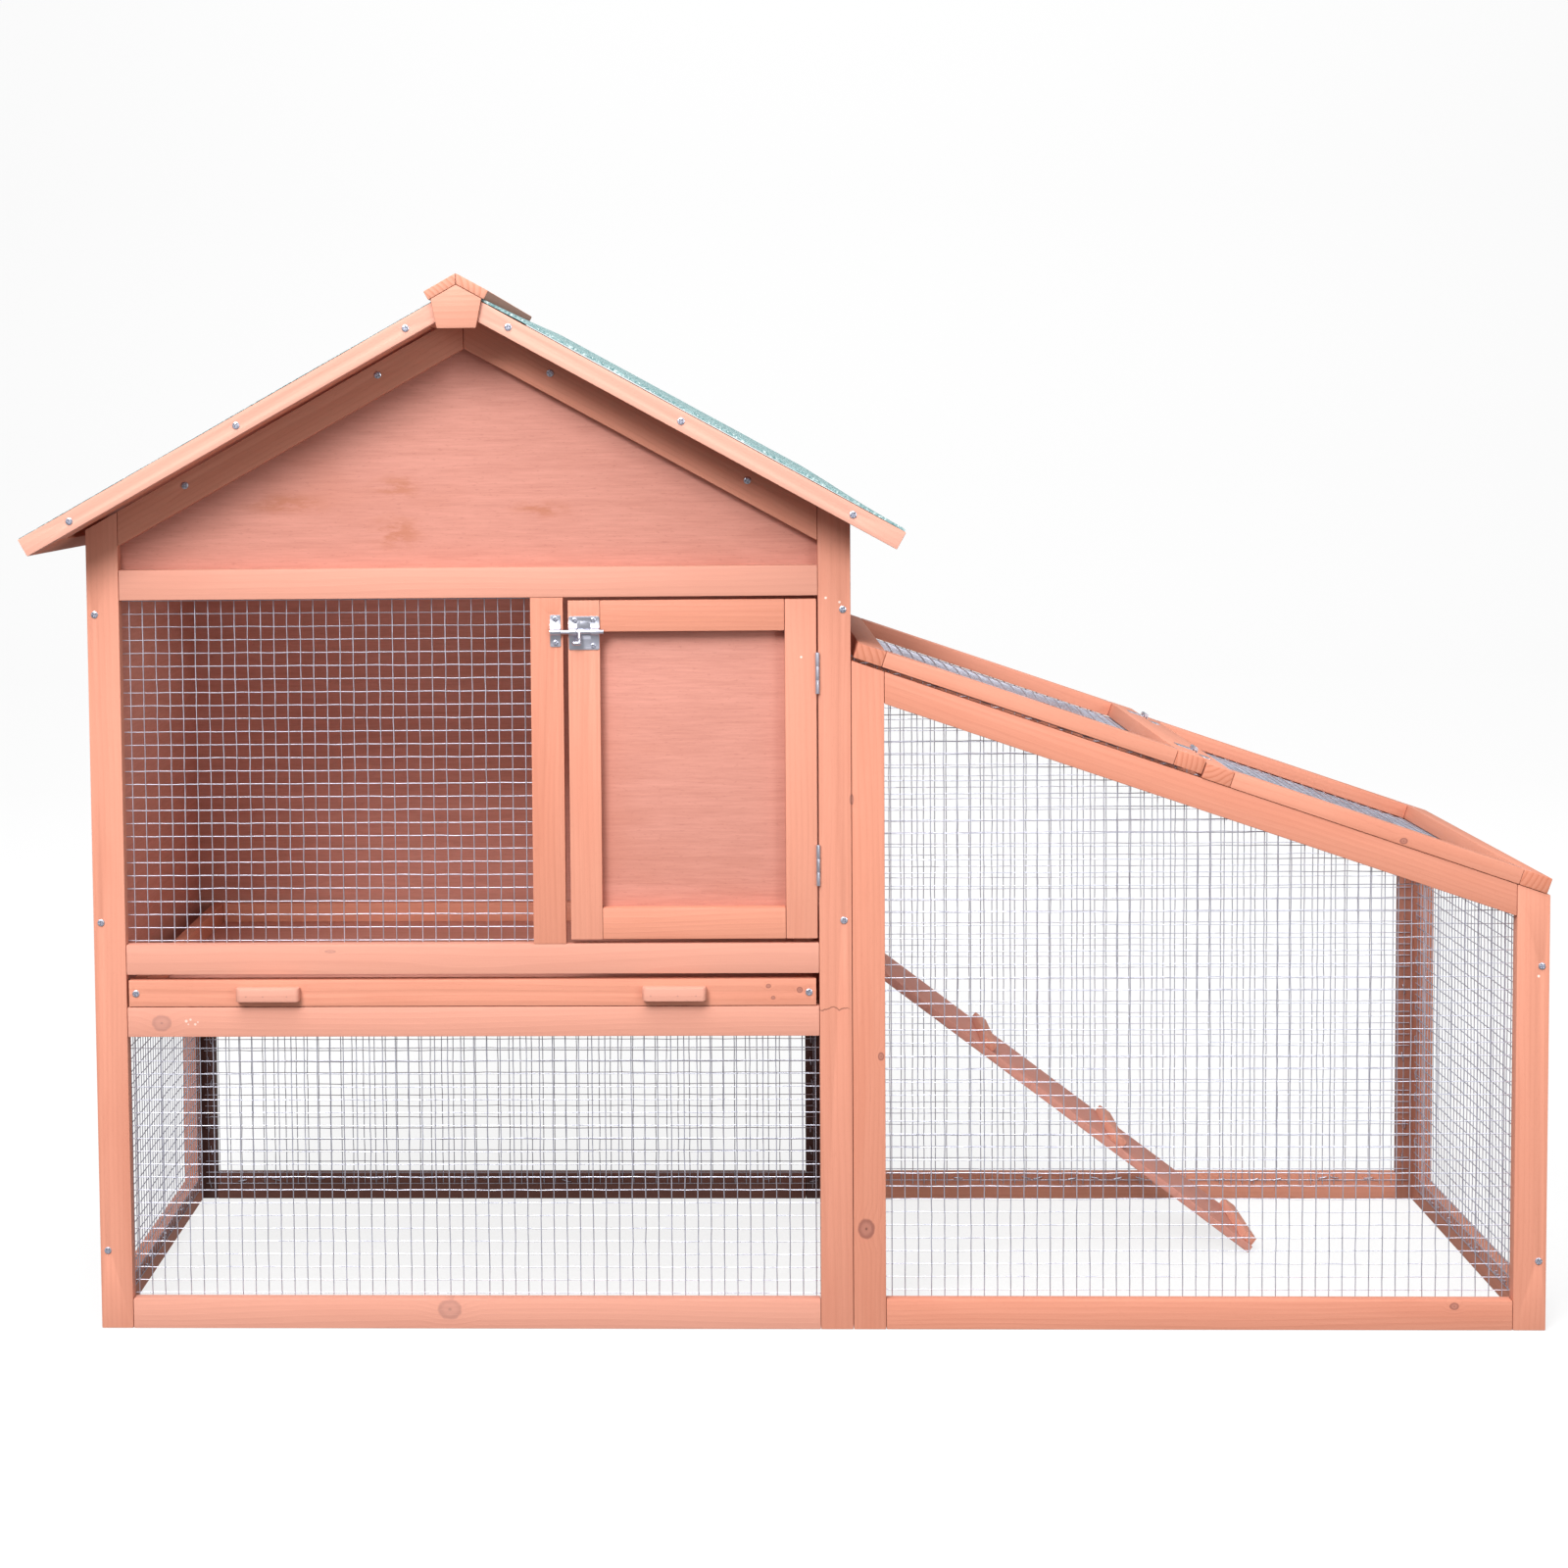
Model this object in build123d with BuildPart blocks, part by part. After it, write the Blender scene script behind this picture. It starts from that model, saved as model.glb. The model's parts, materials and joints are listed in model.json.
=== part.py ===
from build123d import *
import os
from math import cos, floor, radians, sin, tan

# Chicken coop: a gable-roofed house on legs with a pull-out tray, and a lean-to run beside it.
# Millimetres. X runs along the front, Y to the back, Z up. The origin is under the middle of the
# whole coop, on the ground.

# ---------------------------------------------------------------- overall sizes
house_width = 730.0
house_depth = 495.0
run_length = 660.0
wall_height = 777.2  # underside of the roof at the outside of the side walls
roof_pitch = 29.0
run_pitch = 19.0
run_height = 647.2  # top of the run's raking rail where it meets the house
eave_overhang = 48.5
gable_overhang = 70.0
lid_end_overhang = 1.5
lid_side_overhang = 1.5

# ---------------------------------------------------------------- timber
board = 15.0  # thickness of every framing board
post_width = 31.0
rail_width = 29.0
side_stile_width = 30.0
sheet = 4.0  # plywood
sheet_lap = 12.0  # how far a sheet or wire panel laps over the frame behind it
joint_gap = 0.3  # visible seam between boards that butt together
seam = 0.5  # between the house and the run

# ---------------------------------------------------------------- levels
tray_rail_top = 315.5
tray_slot = 31.8
window_height = 333.1

# ---------------------------------------------------------------- front divisions
window_width = 394.5
stile_width = 31.0

# ---------------------------------------------------------------- wire
wire_pitch = 12.7
wire_radius = 0.5
wire_gap = 0.02

# ---------------------------------------------------------------- roof build-up
roof_batten = 14.0
roof_batten_width = 30.0
felt = 2.3
cap_width = 34.3
cap_thickness = 9.0
cap_clearance = 0.5
end_plate = 5.0
end_plate_top = 47.2
end_plate_bottom = 36.2
end_plate_drop = 27.0

# ---------------------------------------------------------------- door, bolt and tray
door_gap_latch = 5.0
door_gap_hinge = 1.5
door_gap_top = 3.2
door_gap_bottom = 4.4
door_frame_width = 30.0
hinge_height = 39.0
hinge_spacing = 184.0
tray_front_height = 25.5
tray_lift = 0.8
runner_width = 30.0
runner_height = 12.0
runner_clearance = 0.3
tray_gap_left = 2.0
tray_gap_right = 3.2
tray_wall = 12.0
tray_wall_height = 21.0
handle_length = 61.5
handle_height = 13.7
handle_depth = 12.0
handle_spacing = 391.0
handle_chamfer = 3.0
tray_screw_inset = 7.0

# ---------------------------------------------------------------- doorway and ramp
doorway_width = 180.0
doorway_height = 255.0
doorway_middle = 87.0
ramp_width = 145.0
ramp_board_thickness = 8.0
ramp_angle = 37.3
ramp_hinge_height = 335.3
ramp_foot = 0.5
cleat_width = 15.0
cleat_height = 8.5
cleat_length = 133.0
cleat_spacing = 170.0
cleat_count = 3

# ---------------------------------------------------------------- small hardware
screw_head = 3.5
screw_head_height = 0.8
screw_shank = 1.75
screw_clearance = 0.05
low_screw = 77.0  # heights of the screws through the posts: above the ground,
middle_screw = 22.0  # above the middle rail,
top_screw = 13.5  # and below the top rail
run_screw = 67.7  # from each end of the run's low post
rake_screw_inset = 10.5
rake_screw_offsets = (82.0, 268.0)  # either side of the ridge
barge_screw_offsets = (47.5, 206.5, 364.5)
small_head = 2.6
small_shank = 1.3
knuckle = 2.0
pin = 1.0
pin_clearance = 0.06
leaf = 0.6
leaf_clearance = 0.3
knuckle_gap = 0.3
leaf_width = 13.0
bolt_rod_radius = 2.2
bolt_clearance = 0.3
bolt_drop = 29.7  # the bolt's axis, below the door's top
bolt_plate_inset = 0.6
bolt_plate_width = 29.2
bolt_strap_width = 8.0
keeper_inset = 2.0
keeper_width = 10.2
small_screw_inset = 3.8
plate_screw_inset = 5.8
strap = 0.8
strap_spread = 7.6  # half the height of a strap where it springs from its plate
stop_width = 7.0
stop_height = 6.5
stop_rise = 0.9
stop_clearance = 3.2
rod_engagement = 7.6
rod_tail_length = 4.0
knob_radius = 2.0
knob_reach = 4.0
knob_drop = 10.5
knob_curl = 5.0
knob_bead_lip = 0.2
lid_rest_gap = 3.5
fixed_lid_gap = 0.3
lid_seam = 0.6
lid_top_clearance = 2.5
lid_rail = 28.0
lid_hinge_length = 25.0
lid_hinge_at = 165.0
ramp_hinge_length = 25.0
ramp_hinge_inset = 45.0
flap_leaf_width = 18.0  # of the lid and ramp hinges, from the pin

# ---------------------------------------------------------------- worked-out places
total_length = eave_overhang + house_width + run_length + lid_end_overhang
house_left = -total_length / 2 + eave_overhang
house_right = house_left + house_width
ridge_x = (house_left + house_right) / 2
run_left = house_right + seam
run_right = house_right + run_length
front = -house_depth / 2
front_inner = front + board
back = house_depth / 2
back_inner = back - board
left_inner = house_left + board
right_inner = house_right - board
opening_left = house_left + post_width
opening_right = house_right - post_width
run_open_left = run_left + post_width
run_open_right = run_right - post_width

roof_tan = tan(radians(roof_pitch))
roof_cos = cos(radians(roof_pitch))
roof_sin = sin(radians(roof_pitch))
ridge_under = wall_height + roof_tan * house_width / 2
roof_thickness = roof_batten + sheet
roof_run = (house_width / 2 + eave_overhang - roof_thickness * roof_sin) / roof_cos
roof_front = front - gable_overhang
roof_back = back + gable_overhang

run_tan = tan(radians(run_pitch))
run_cos = cos(radians(run_pitch))
run_sin = sin(radians(run_pitch))

tray_rail_bottom = tray_rail_top - rail_width
middle_rail_bottom = tray_rail_top + tray_slot
middle_rail_top = middle_rail_bottom + rail_width
top_rail_bottom = middle_rail_top + window_height
top_rail_top = top_rail_bottom + rail_width
stile_left = opening_left + window_width
stile_right = stile_left + stile_width


# ---------------------------------------------------------------- helpers
def finish(piece, label):
    """Names a finished piece and writes its file."""
    piece.part.label = label
    export_step(piece.part, f"parts/{label}.step")
    print(label, len(piece.part.solids()), round(piece.part.volume / 1000, 1), "cm3")


def slab(plane, u, v, n, mode=Mode.ADD):
    """Adds a rectangular block: u and v are (low, high) on the plane, n is (low, high) off it."""
    with BuildSketch(plane.offset(n[0])) as face:
        with Locations(((u[0] + u[1]) / 2, (v[0] + v[1]) / 2)):
            Rectangle(u[1] - u[0], v[1] - v[0])
    extrude(face.sketch, amount=n[1] - n[0], mode=mode)


def timber(x, y, z, mode=Mode.ADD):
    """Adds a straight board between (low, high) values of X, Y and Z."""
    slab(Plane.XY, x, y, z, mode)


def outline(points, y):
    """Adds a board cut to an outline of (x, z) points, between two values of Y."""
    with BuildSketch(Plane.XZ.offset(-y[0])) as face:
        with BuildLine():
            Polyline(*points, close=True)
        make_face()
    extrude(face.sketch, amount=y[0] - y[1])


def under_roof(x):
    """Height of the roof's underside."""
    return ridge_under - abs(x - ridge_x) * roof_tan


def run_line(x):
    """Height of the top of the run's raking rails."""
    return run_height - (x - house_right) * run_tan


def roof_point(side, s, n):
    """The (x, z) of a point s down one roof slope and n above its underside, square to it."""
    return (ridge_x + side * (s * roof_cos + n * roof_sin), ridge_under - s * roof_sin + n * roof_cos)


def roof_layer(side, n, length, y, start=joint_gap / 2):
    """Adds one layer of a roof slope, from a plumb cut at the ridge to a square cut at length."""
    inner = ridge_x + side * start
    drop = start * roof_tan
    low = (inner, ridge_under - drop + n[0] / roof_cos)
    high = (inner, ridge_under - drop + n[1] / roof_cos)
    low_tip = roof_point(side, length, n[0])
    high_tip = roof_point(side, length, n[1])
    outline([low, high, high_tip, low_tip], y)


def roof_plane(side):
    """The underside of one roof slope, with its x running down to the eave."""
    return Plane(
        origin=(ridge_x, 0, ridge_under),
        x_dir=(side * roof_cos, 0, -roof_sin),
        z_dir=(side * roof_sin, 0, roof_cos),
    )


lid_plane = Plane(
    origin=((run_left + run_right) / 2 + joint_gap, 0, run_line((run_left + run_right) / 2 + joint_gap)),
    x_dir=(run_cos, 0, -run_sin),
    z_dir=(run_sin, 0, run_cos),
)


def wire_panel(plane, u, v):
    """Adds a layer of wires along v that lies on the plane, and a layer along u just off it."""
    count_u = floor((u[1] - u[0]) / wire_pitch) + 1
    count_v = floor((v[1] - v[0]) / wire_pitch) + 1
    mid_u = (u[0] + u[1]) / 2
    mid_v = (v[0] + v[1]) / 2
    first = wire_radius + wire_gap
    second = first + 2 * wire_radius + wire_gap
    along_v = Plane(origin=plane.origin + plane.y_dir * v[0], x_dir=plane.x_dir, z_dir=plane.y_dir)
    with BuildSketch(along_v) as face:
        with Locations((mid_u, -first)):
            with GridLocations(wire_pitch, 1, count_u, 1):
                Circle(wire_radius)
    extrude(face.sketch, amount=v[1] - v[0])
    along_u = Plane(origin=plane.origin + plane.x_dir * u[0], x_dir=plane.y_dir, z_dir=plane.x_dir)
    with BuildSketch(along_u) as face:
        with Locations((mid_v, second)):
            with GridLocations(wire_pitch, 1, count_v, 1):
                Circle(wire_radius)
    extrude(face.sketch, amount=u[1] - u[0])


def screws(plane, points, head=screw_head, shank=screw_shank):
    """Adds screws whose heads sit on the plane and whose shanks go one board deep behind it."""
    with BuildSketch(plane) as face:
        with Locations(*points):
            Circle(head)
    extrude(face.sketch, amount=screw_head_height)
    with BuildSketch(plane) as face:
        with Locations(*points):
            Circle(shank)
    extrude(face.sketch, amount=-board)


def drill(plane, points, shank=screw_shank):
    """Cuts the holes for screws through the boards behind the plane."""
    with BuildSketch(plane) as face:
        with Locations(*points):
            Circle(shank + screw_clearance)
    extrude(face.sketch, amount=-board - screw_clearance, mode=Mode.SUBTRACT)


front_plane = Plane.XZ.offset(-front)  # looks out of the front; local (x, z)
front_inner_plane = Plane(origin=(0, front_inner, 0), x_dir=(-1, 0, 0), z_dir=(0, 1, 0))  # local (-x, z)
back_plane = Plane(origin=(0, back, 0), x_dir=(-1, 0, 0), z_dir=(0, 1, 0))  # local (-x, z)
back_inner_plane = Plane.XZ.offset(-back_inner)
left_inner_plane = Plane.YZ.offset(left_inner)
run_side_inner_plane = Plane(origin=(run_right - board, 0, 0), x_dir=(0, -1, 0), z_dir=(-1, 0, 0))
gable_front_plane = Plane.XZ.offset(-roof_front)
gable_back_plane = Plane(origin=(0, roof_back, 0), x_dir=(-1, 0, 0), z_dir=(0, 1, 0))

# screw places, as (x, z)
edge_inset = board / 2
post_screw_heights = (low_screw, middle_rail_top + middle_screw, top_rail_bottom - top_screw)
left_post_screws = [(house_left + edge_inset, z) for z in post_screw_heights]
right_post_screws = [(house_right - edge_inset, z) for z in post_screw_heights[1:]]
run_side_top = run_line(run_right)
run_post_screws = [(run_right - edge_inset, z) for z in (run_screw, run_side_top - run_screw)]
rake_screws = [
    (ridge_x + side * off, ridge_under - off * roof_tan - rake_screw_inset / roof_cos)
    for side in (-1, 1)
    for off in rake_screw_offsets
]
barge_screws = [
    (ridge_x + side * off, ridge_under - off * roof_tan + roof_thickness / 2 / roof_cos)
    for side in (-1, 1)
    for off in barge_screw_offsets
]


def mirrored(points):
    """The same places seen from behind."""
    return [(-x, z) for x, z in points]


# door and bolt places
door_x = (stile_right + door_gap_latch, opening_right - door_gap_hinge)
door_z = (middle_rail_top + door_gap_bottom, top_rail_bottom - door_gap_top)
door_inner_x = (door_x[0] + door_frame_width + joint_gap, door_x[1] - door_frame_width - joint_gap)
bolt_z = door_z[1] - bolt_drop
bolt_plate_x = (door_x[0] + bolt_plate_inset, door_x[0] + bolt_plate_inset + bolt_plate_width)
bolt_plate_z = (bolt_z - 17.3, bolt_z + 14.7)
bolt_straps_x = (
    (bolt_plate_x[0], bolt_plate_x[0] + bolt_strap_width),
    (bolt_plate_x[1] - bolt_strap_width, bolt_plate_x[1]),
)
strap_hole = bolt_rod_radius + bolt_clearance
strap_outer = strap_hole + strap
bolt_axis_y = front - strap - strap_hole
keeper_x = (stile_right - keeper_inset - keeper_width, stile_right - keeper_inset)
keeper_z = (bolt_z - 14.3, bolt_z + 16.1)
knob_x = bolt_straps_x[0][1] + knob_radius + bolt_clearance
metal_face_plane = Plane.XZ.offset(-front + strap)
plate_screws = [
    (bolt_plate_x[0] + plate_screw_inset, bolt_plate_z[1] - small_screw_inset),
    (bolt_plate_x[1] - plate_screw_inset, bolt_plate_z[1] - small_screw_inset),
    (bolt_plate_x[1] - plate_screw_inset, bolt_plate_z[0] + small_screw_inset),
]
keeper_middle = (keeper_x[0] + keeper_x[1]) / 2
keeper_screws = [
    (keeper_middle, keeper_z[0] + small_screw_inset),
    (keeper_middle, keeper_z[1] - small_screw_inset),
]

os.makedirs("parts", exist_ok=True)

# ================================================================ house: front frame
def house_posts(y):
    """Adds the two posts of a house frame, their tops cut to the roof's slope."""
    for x in ((house_left, opening_left), (opening_right, house_right)):
        outline([(x[0], 0), (x[1], 0), (x[1], under_roof(x[1])), (x[0], under_roof(x[0]))], y)


with BuildPart() as front_posts:
    house_posts((front, front_inner))
    drill(front_plane, left_post_screws + right_post_screws)
finish(front_posts, "front_posts")

rail_x = (opening_left + joint_gap, opening_right - joint_gap)
stile_z = (middle_rail_top + joint_gap, top_rail_bottom - joint_gap)
with BuildPart() as front_rails:
    for z in (
        (0, rail_width),
        (tray_rail_bottom, tray_rail_top),
        (middle_rail_bottom, middle_rail_top),
        (top_rail_bottom, top_rail_top),
    ):
        timber(rail_x, (front, front_inner), z)
finish(front_rails, "front_rails")

with BuildPart() as front_stile:
    timber((stile_left, stile_right), (front, front_inner), stile_z)
    drill(metal_face_plane, keeper_screws, small_shank)
finish(front_stile, "front_stile")


def rake_rails(y):
    """Adds the pair of rails that follow the roof from the posts up to the ridge."""
    depth = rail_width / roof_cos
    for side, foot in ((-1, opening_left + joint_gap), (1, opening_right - joint_gap)):
        head = ridge_x + side * joint_gap / 2
        top = [(foot, under_roof(foot)), (head, under_roof(head))]
        outline([*top, (head, top[1][1] - depth), (foot, top[0][1] - depth)], y)


with BuildPart() as front_rake_rails:
    rake_rails((front, front_inner))
    drill(front_plane, rake_screws)
finish(front_rake_rails, "front_rake_rails")


def gable_sheet(bottom, y, reach):
    """Adds the plywood under the roof, lapped over the frame: reach is its half width."""
    drop = (rail_width - sheet_lap) / roof_cos
    low, high = ridge_x - reach, ridge_x + reach
    outline(
        [(low, bottom), (high, bottom), (high, under_roof(high) - drop),
         (ridge_x, ridge_under - drop), (low, under_roof(low) - drop)],
        y,
    )


with BuildPart() as front_gable_panel:
    reach = house_width / 2 - post_width + sheet_lap
    gable_sheet(top_rail_top - sheet_lap, (front_inner, front_inner + sheet), reach)
finish(front_gable_panel, "front_gable_panel")

with BuildPart() as window_mesh:
    wire_panel(
        front_inner_plane,
        (-stile_left - sheet_lap, -opening_left + sheet_lap),
        (middle_rail_top - sheet_lap, top_rail_bottom + sheet_lap),
    )
finish(window_mesh, "window_mesh")

with BuildPart() as front_lower_mesh:
    wire_panel(
        front_inner_plane,
        (-opening_right - sheet_lap, -opening_left + sheet_lap),
        (rail_width - sheet_lap, tray_rail_bottom + sheet_lap),
    )
finish(front_lower_mesh, "front_lower_mesh")

# ================================================================ house: back frame
with BuildPart() as back_posts:
    house_posts((back_inner, back))
    drill(back_plane, mirrored(left_post_screws + right_post_screws))
finish(back_posts, "back_posts")

with BuildPart() as back_rails:
    for z in ((0, rail_width), (tray_rail_bottom, tray_rail_top), (top_rail_bottom, top_rail_top)):
        timber(rail_x, (back_inner, back), z)
finish(back_rails, "back_rails")

with BuildPart() as back_rake_rails:
    rake_rails((back_inner, back))
    drill(back_plane, mirrored(rake_screws))
finish(back_rake_rails, "back_rake_rails")

back_sheet = (back_inner - sheet, back_inner)
with BuildPart() as back_wall_panel:
    gable_sheet(tray_rail_top - sheet_lap, back_sheet, house_width / 2 - board - joint_gap)
finish(back_wall_panel, "back_wall_panel")

with BuildPart() as back_lower_mesh:
    wire_panel(
        back_inner_plane,
        (opening_left - sheet_lap, opening_right + sheet_lap),
        (rail_width - sheet_lap, tray_rail_bottom + sheet_lap),
    )
finish(back_lower_mesh, "back_lower_mesh")

# ================================================================ house: side frames and walls
side_rail_y = (front_inner + side_stile_width + joint_gap, back_inner - side_stile_width - joint_gap)


def side_frame(x, top, rails):
    """Adds two stiles and the rails between them, all between two values of X."""
    for y in ((front_inner, front_inner + side_stile_width), (back_inner - side_stile_width, back_inner)):
        timber(x, y, (0, top))
    for z in rails:
        timber(x, side_rail_y, z)


house_side_rails = (
    (0, rail_width),
    (tray_rail_bottom, tray_rail_top),
    (wall_height - rail_width, wall_height),
)
with BuildPart() as left_side_frame:
    side_frame((house_left, left_inner), wall_height, house_side_rails)
finish(left_side_frame, "left_side_frame")

sill_top = tray_rail_top + joint_gap + rail_width
doorway_y = (doorway_middle - doorway_width / 2, doorway_middle + doorway_width / 2)
doorway_top = sill_top + doorway_height
with BuildPart() as right_side_frame:
    side_frame((right_inner, house_right), wall_height, house_side_rails)
    timber((right_inner, house_right), side_rail_y, (tray_rail_top + joint_gap, sill_top))
    timber((right_inner, house_right), side_rail_y, (doorway_top, doorway_top + rail_width))
    jamb_z = (sill_top + joint_gap, doorway_top - joint_gap)
    timber((right_inner, house_right), (doorway_y[0] - rail_width, doorway_y[0]), jamb_z)
    timber((right_inner, house_right), (doorway_y[1], side_rail_y[1]), jamb_z)
finish(right_side_frame, "right_side_frame")

side_sheet_y = (front_inner + sheet + seam, back_inner - sheet - seam)
side_sheet_z = (tray_rail_top - sheet_lap, wall_height - sheet_lap)
with BuildPart() as left_wall_panel:
    timber((left_inner, left_inner + sheet), side_sheet_y, side_sheet_z)
finish(left_wall_panel, "left_wall_panel")

with BuildPart() as right_wall_panel:
    timber((right_inner - sheet, right_inner), side_sheet_y, side_sheet_z)
    hole_x = (right_inner - 2 * sheet, right_inner + sheet)
    timber(hole_x, doorway_y, (sill_top, doorway_top), Mode.SUBTRACT)
finish(right_wall_panel, "right_wall_panel")

with BuildPart() as left_lower_mesh:
    wire_panel(
        left_inner_plane,
        (side_rail_y[0] - sheet_lap, side_rail_y[1] + sheet_lap),
        (rail_width - sheet_lap, tray_rail_bottom + sheet_lap),
    )
finish(left_lower_mesh, "left_lower_mesh")

# ================================================================ tray
tray_bottom = tray_rail_top + tray_lift
tray_x = (opening_left + tray_gap_left, opening_right - tray_gap_right)
tray_box_x = (tray_x[0] + tray_gap_left, tray_x[1] - tray_gap_left)
tray_back = back_inner - 2 * sheet
tray_middle = (tray_x[0] + tray_x[1]) / 2
handle_z = tray_bottom + tray_front_height / 2
tray_screws_at = [(tray_x[0] + tray_screw_inset, handle_z), (tray_x[1] - tray_screw_inset, handle_z)]
with BuildPart() as tray_runners:
    for x in (
        (left_inner + sheet, left_inner + sheet + runner_width),
        (right_inner - sheet - runner_width, right_inner - sheet),
    ):
        z = tray_bottom - runner_clearance
        timber(x, side_sheet_y, (z - runner_height, z))
finish(tray_runners, "tray_runners")

with BuildPart() as tray_front:
    timber(tray_x, (front, front_inner), (tray_bottom, tray_bottom + tray_front_height))
    drill(front_plane, tray_screws_at)
finish(tray_front, "tray_front")

with BuildPart() as tray_floor:
    timber(tray_box_x, (front_inner, tray_back), (tray_bottom, tray_bottom + sheet))
finish(tray_floor, "tray_floor")

with BuildPart() as tray_walls:
    wall_z = (tray_bottom + sheet, tray_bottom + sheet + tray_wall_height)
    for x in ((tray_box_x[0], tray_box_x[0] + tray_wall), (tray_box_x[1] - tray_wall, tray_box_x[1])):
        timber(x, (front_inner, tray_back), wall_z)
    cross_x = (tray_box_x[0] + tray_wall + joint_gap, tray_box_x[1] - tray_wall - joint_gap)
    timber(cross_x, (tray_back - tray_wall, tray_back), wall_z)
finish(tray_walls, "tray_walls")

with BuildPart() as tray_handles:
    for side in (-1, 1):
        middle = tray_middle + side * handle_spacing / 2
        timber(
            (middle - handle_length / 2, middle + handle_length / 2),
            (front - handle_depth, front),
            (handle_z - handle_height / 2, handle_z + handle_height / 2),
        )
    ends = tray_handles.faces().filter_by(Axis.X)
    chamfer(ends.edges().filter_by(Axis.Z).group_by(Axis.Y)[0], length=handle_chamfer)
finish(tray_handles, "tray_handles")

with BuildPart() as tray_screws:
    screws(front_plane, tray_screws_at)
finish(tray_screws, "tray_screws")

# ================================================================ door
with BuildPart() as door_stiles:
    timber((door_x[0], door_x[0] + door_frame_width), (front, front_inner), door_z)
    timber((door_x[1] - door_frame_width, door_x[1]), (front, front_inner), door_z)
    drill(metal_face_plane, plate_screws, small_shank)
finish(door_stiles, "door_stiles")

with BuildPart() as door_rails:
    timber(door_inner_x, (front, front_inner), (door_z[0], door_z[0] + door_frame_width))
    timber(door_inner_x, (front, front_inner), (door_z[1] - door_frame_width, door_z[1]))
finish(door_rails, "door_rails")

with BuildPart() as door_panel:
    lap = door_frame_width - sheet_lap
    panel_x = (door_x[0] + lap, door_x[1] - lap)
    panel_z = (door_z[0] + lap, door_z[1] - lap)
    timber(panel_x, (front_inner, front_inner + sheet), panel_z)
finish(door_panel, "door_panel")


def hinge_ranges(length, own):
    """The stretches of a three-knuckle barrel that belong to the outer leaf or the middle leaf."""
    third = length / 3
    if own == "middle":
        return [(third + knuckle_gap / 2, 2 * third - knuckle_gap / 2)]
    return [(0, third - knuckle_gap / 2), (2 * third + knuckle_gap / 2, length)]


def barrel(plane, length, own):
    """Adds knuckles around the local z axis of the plane."""
    for low, high in hinge_ranges(length, own):
        with BuildSketch(plane.offset(low)) as face:
            Circle(knuckle)
            Circle(pin + pin_clearance, mode=Mode.SUBTRACT)
        extrude(face.sketch, amount=high - low)


def hinge_pin(plane, length):
    """Adds the pin along the local z axis of the plane."""
    with BuildSketch(plane) as face:
        Circle(pin)
    extrude(face.sketch, amount=length)


door_hinge_x = door_x[1] + door_gap_hinge / 2
door_hinge_y = front - knuckle
door_middle_z = (door_z[0] + door_z[1]) / 2
door_hinge_planes = [
    Plane(origin=(door_hinge_x, door_hinge_y, door_middle_z + side * hinge_spacing / 2 - hinge_height / 2))
    for side in (-1, 1)
]


def door_leaf(plane, x, own):
    """Adds a door hinge leaf that stands in the gap beside the door, tied to its own knuckles."""
    barrel(plane, hinge_height, own)
    slab(plane, x, (knuckle + leaf_clearance, knuckle + leaf_width), (0, hinge_height))
    for low, high in hinge_ranges(hinge_height, own):
        slab(plane, x, ((knuckle + pin) / 2, knuckle + leaf_clearance), (low, high))


with BuildPart() as door_hinge_leaves:
    for plane in door_hinge_planes:
        door_leaf(plane, (-door_gap_hinge / 2, -door_gap_hinge / 2 + leaf), "middle")
finish(door_hinge_leaves, "door_hinge_leaves")

with BuildPart() as post_hinge_leaves:
    for plane in door_hinge_planes:
        door_leaf(plane, (door_gap_hinge / 2 - leaf, door_gap_hinge / 2), "outer")
finish(post_hinge_leaves, "post_hinge_leaves")

# ---------------------------------------------------------------- barrel bolt on the door
def bent_strap(x):
    """Adds a strap that arches over the bolt's rod, with sloping sides down to its plate."""
    with BuildSketch(Plane.YZ.offset(x[0])) as face:
        for radius, spread, mode in (
            (strap_outer, strap_spread, Mode.ADD),
            (strap_hole, strap_spread - strap, Mode.SUBTRACT),
        ):
            with Locations((bolt_axis_y, bolt_z)):
                Circle(radius, mode=mode)
            with BuildLine():
                Polyline(
                    (bolt_axis_y, bolt_z - radius),
                    (front - strap, bolt_z - spread),
                    (front - strap, bolt_z + spread),
                    (bolt_axis_y, bolt_z + radius),
                    close=True,
                )
            make_face(mode=mode)
    extrude(face.sketch, amount=x[1] - x[0])


with BuildPart() as bolt_plate:
    timber(bolt_plate_x, (front - strap, front), bolt_plate_z)
    fillet(bolt_plate.edges().filter_by(Axis.Y), radius=1.5)
    for x in bolt_straps_x:
        bent_strap(x)
    stop_x = (bolt_straps_x[0][1] + bolt_straps_x[1][0]) / 2
    stop_z = bolt_z + stop_clearance
    timber(
        (stop_x - stop_width / 2, stop_x + stop_width / 2),
        (front - strap - stop_rise, front - strap),
        (stop_z, stop_z + stop_height),
    )
    drill(metal_face_plane, plate_screws, small_shank)
finish(bolt_plate, "bolt_plate")

with BuildPart() as bolt_keeper:
    timber(keeper_x, (front - strap, front), keeper_z)
    fillet(bolt_keeper.edges().filter_by(Axis.Y), radius=1.5)
    bent_strap(keeper_x)
    drill(metal_face_plane, keeper_screws, small_shank)
finish(bolt_keeper, "bolt_keeper")

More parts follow.
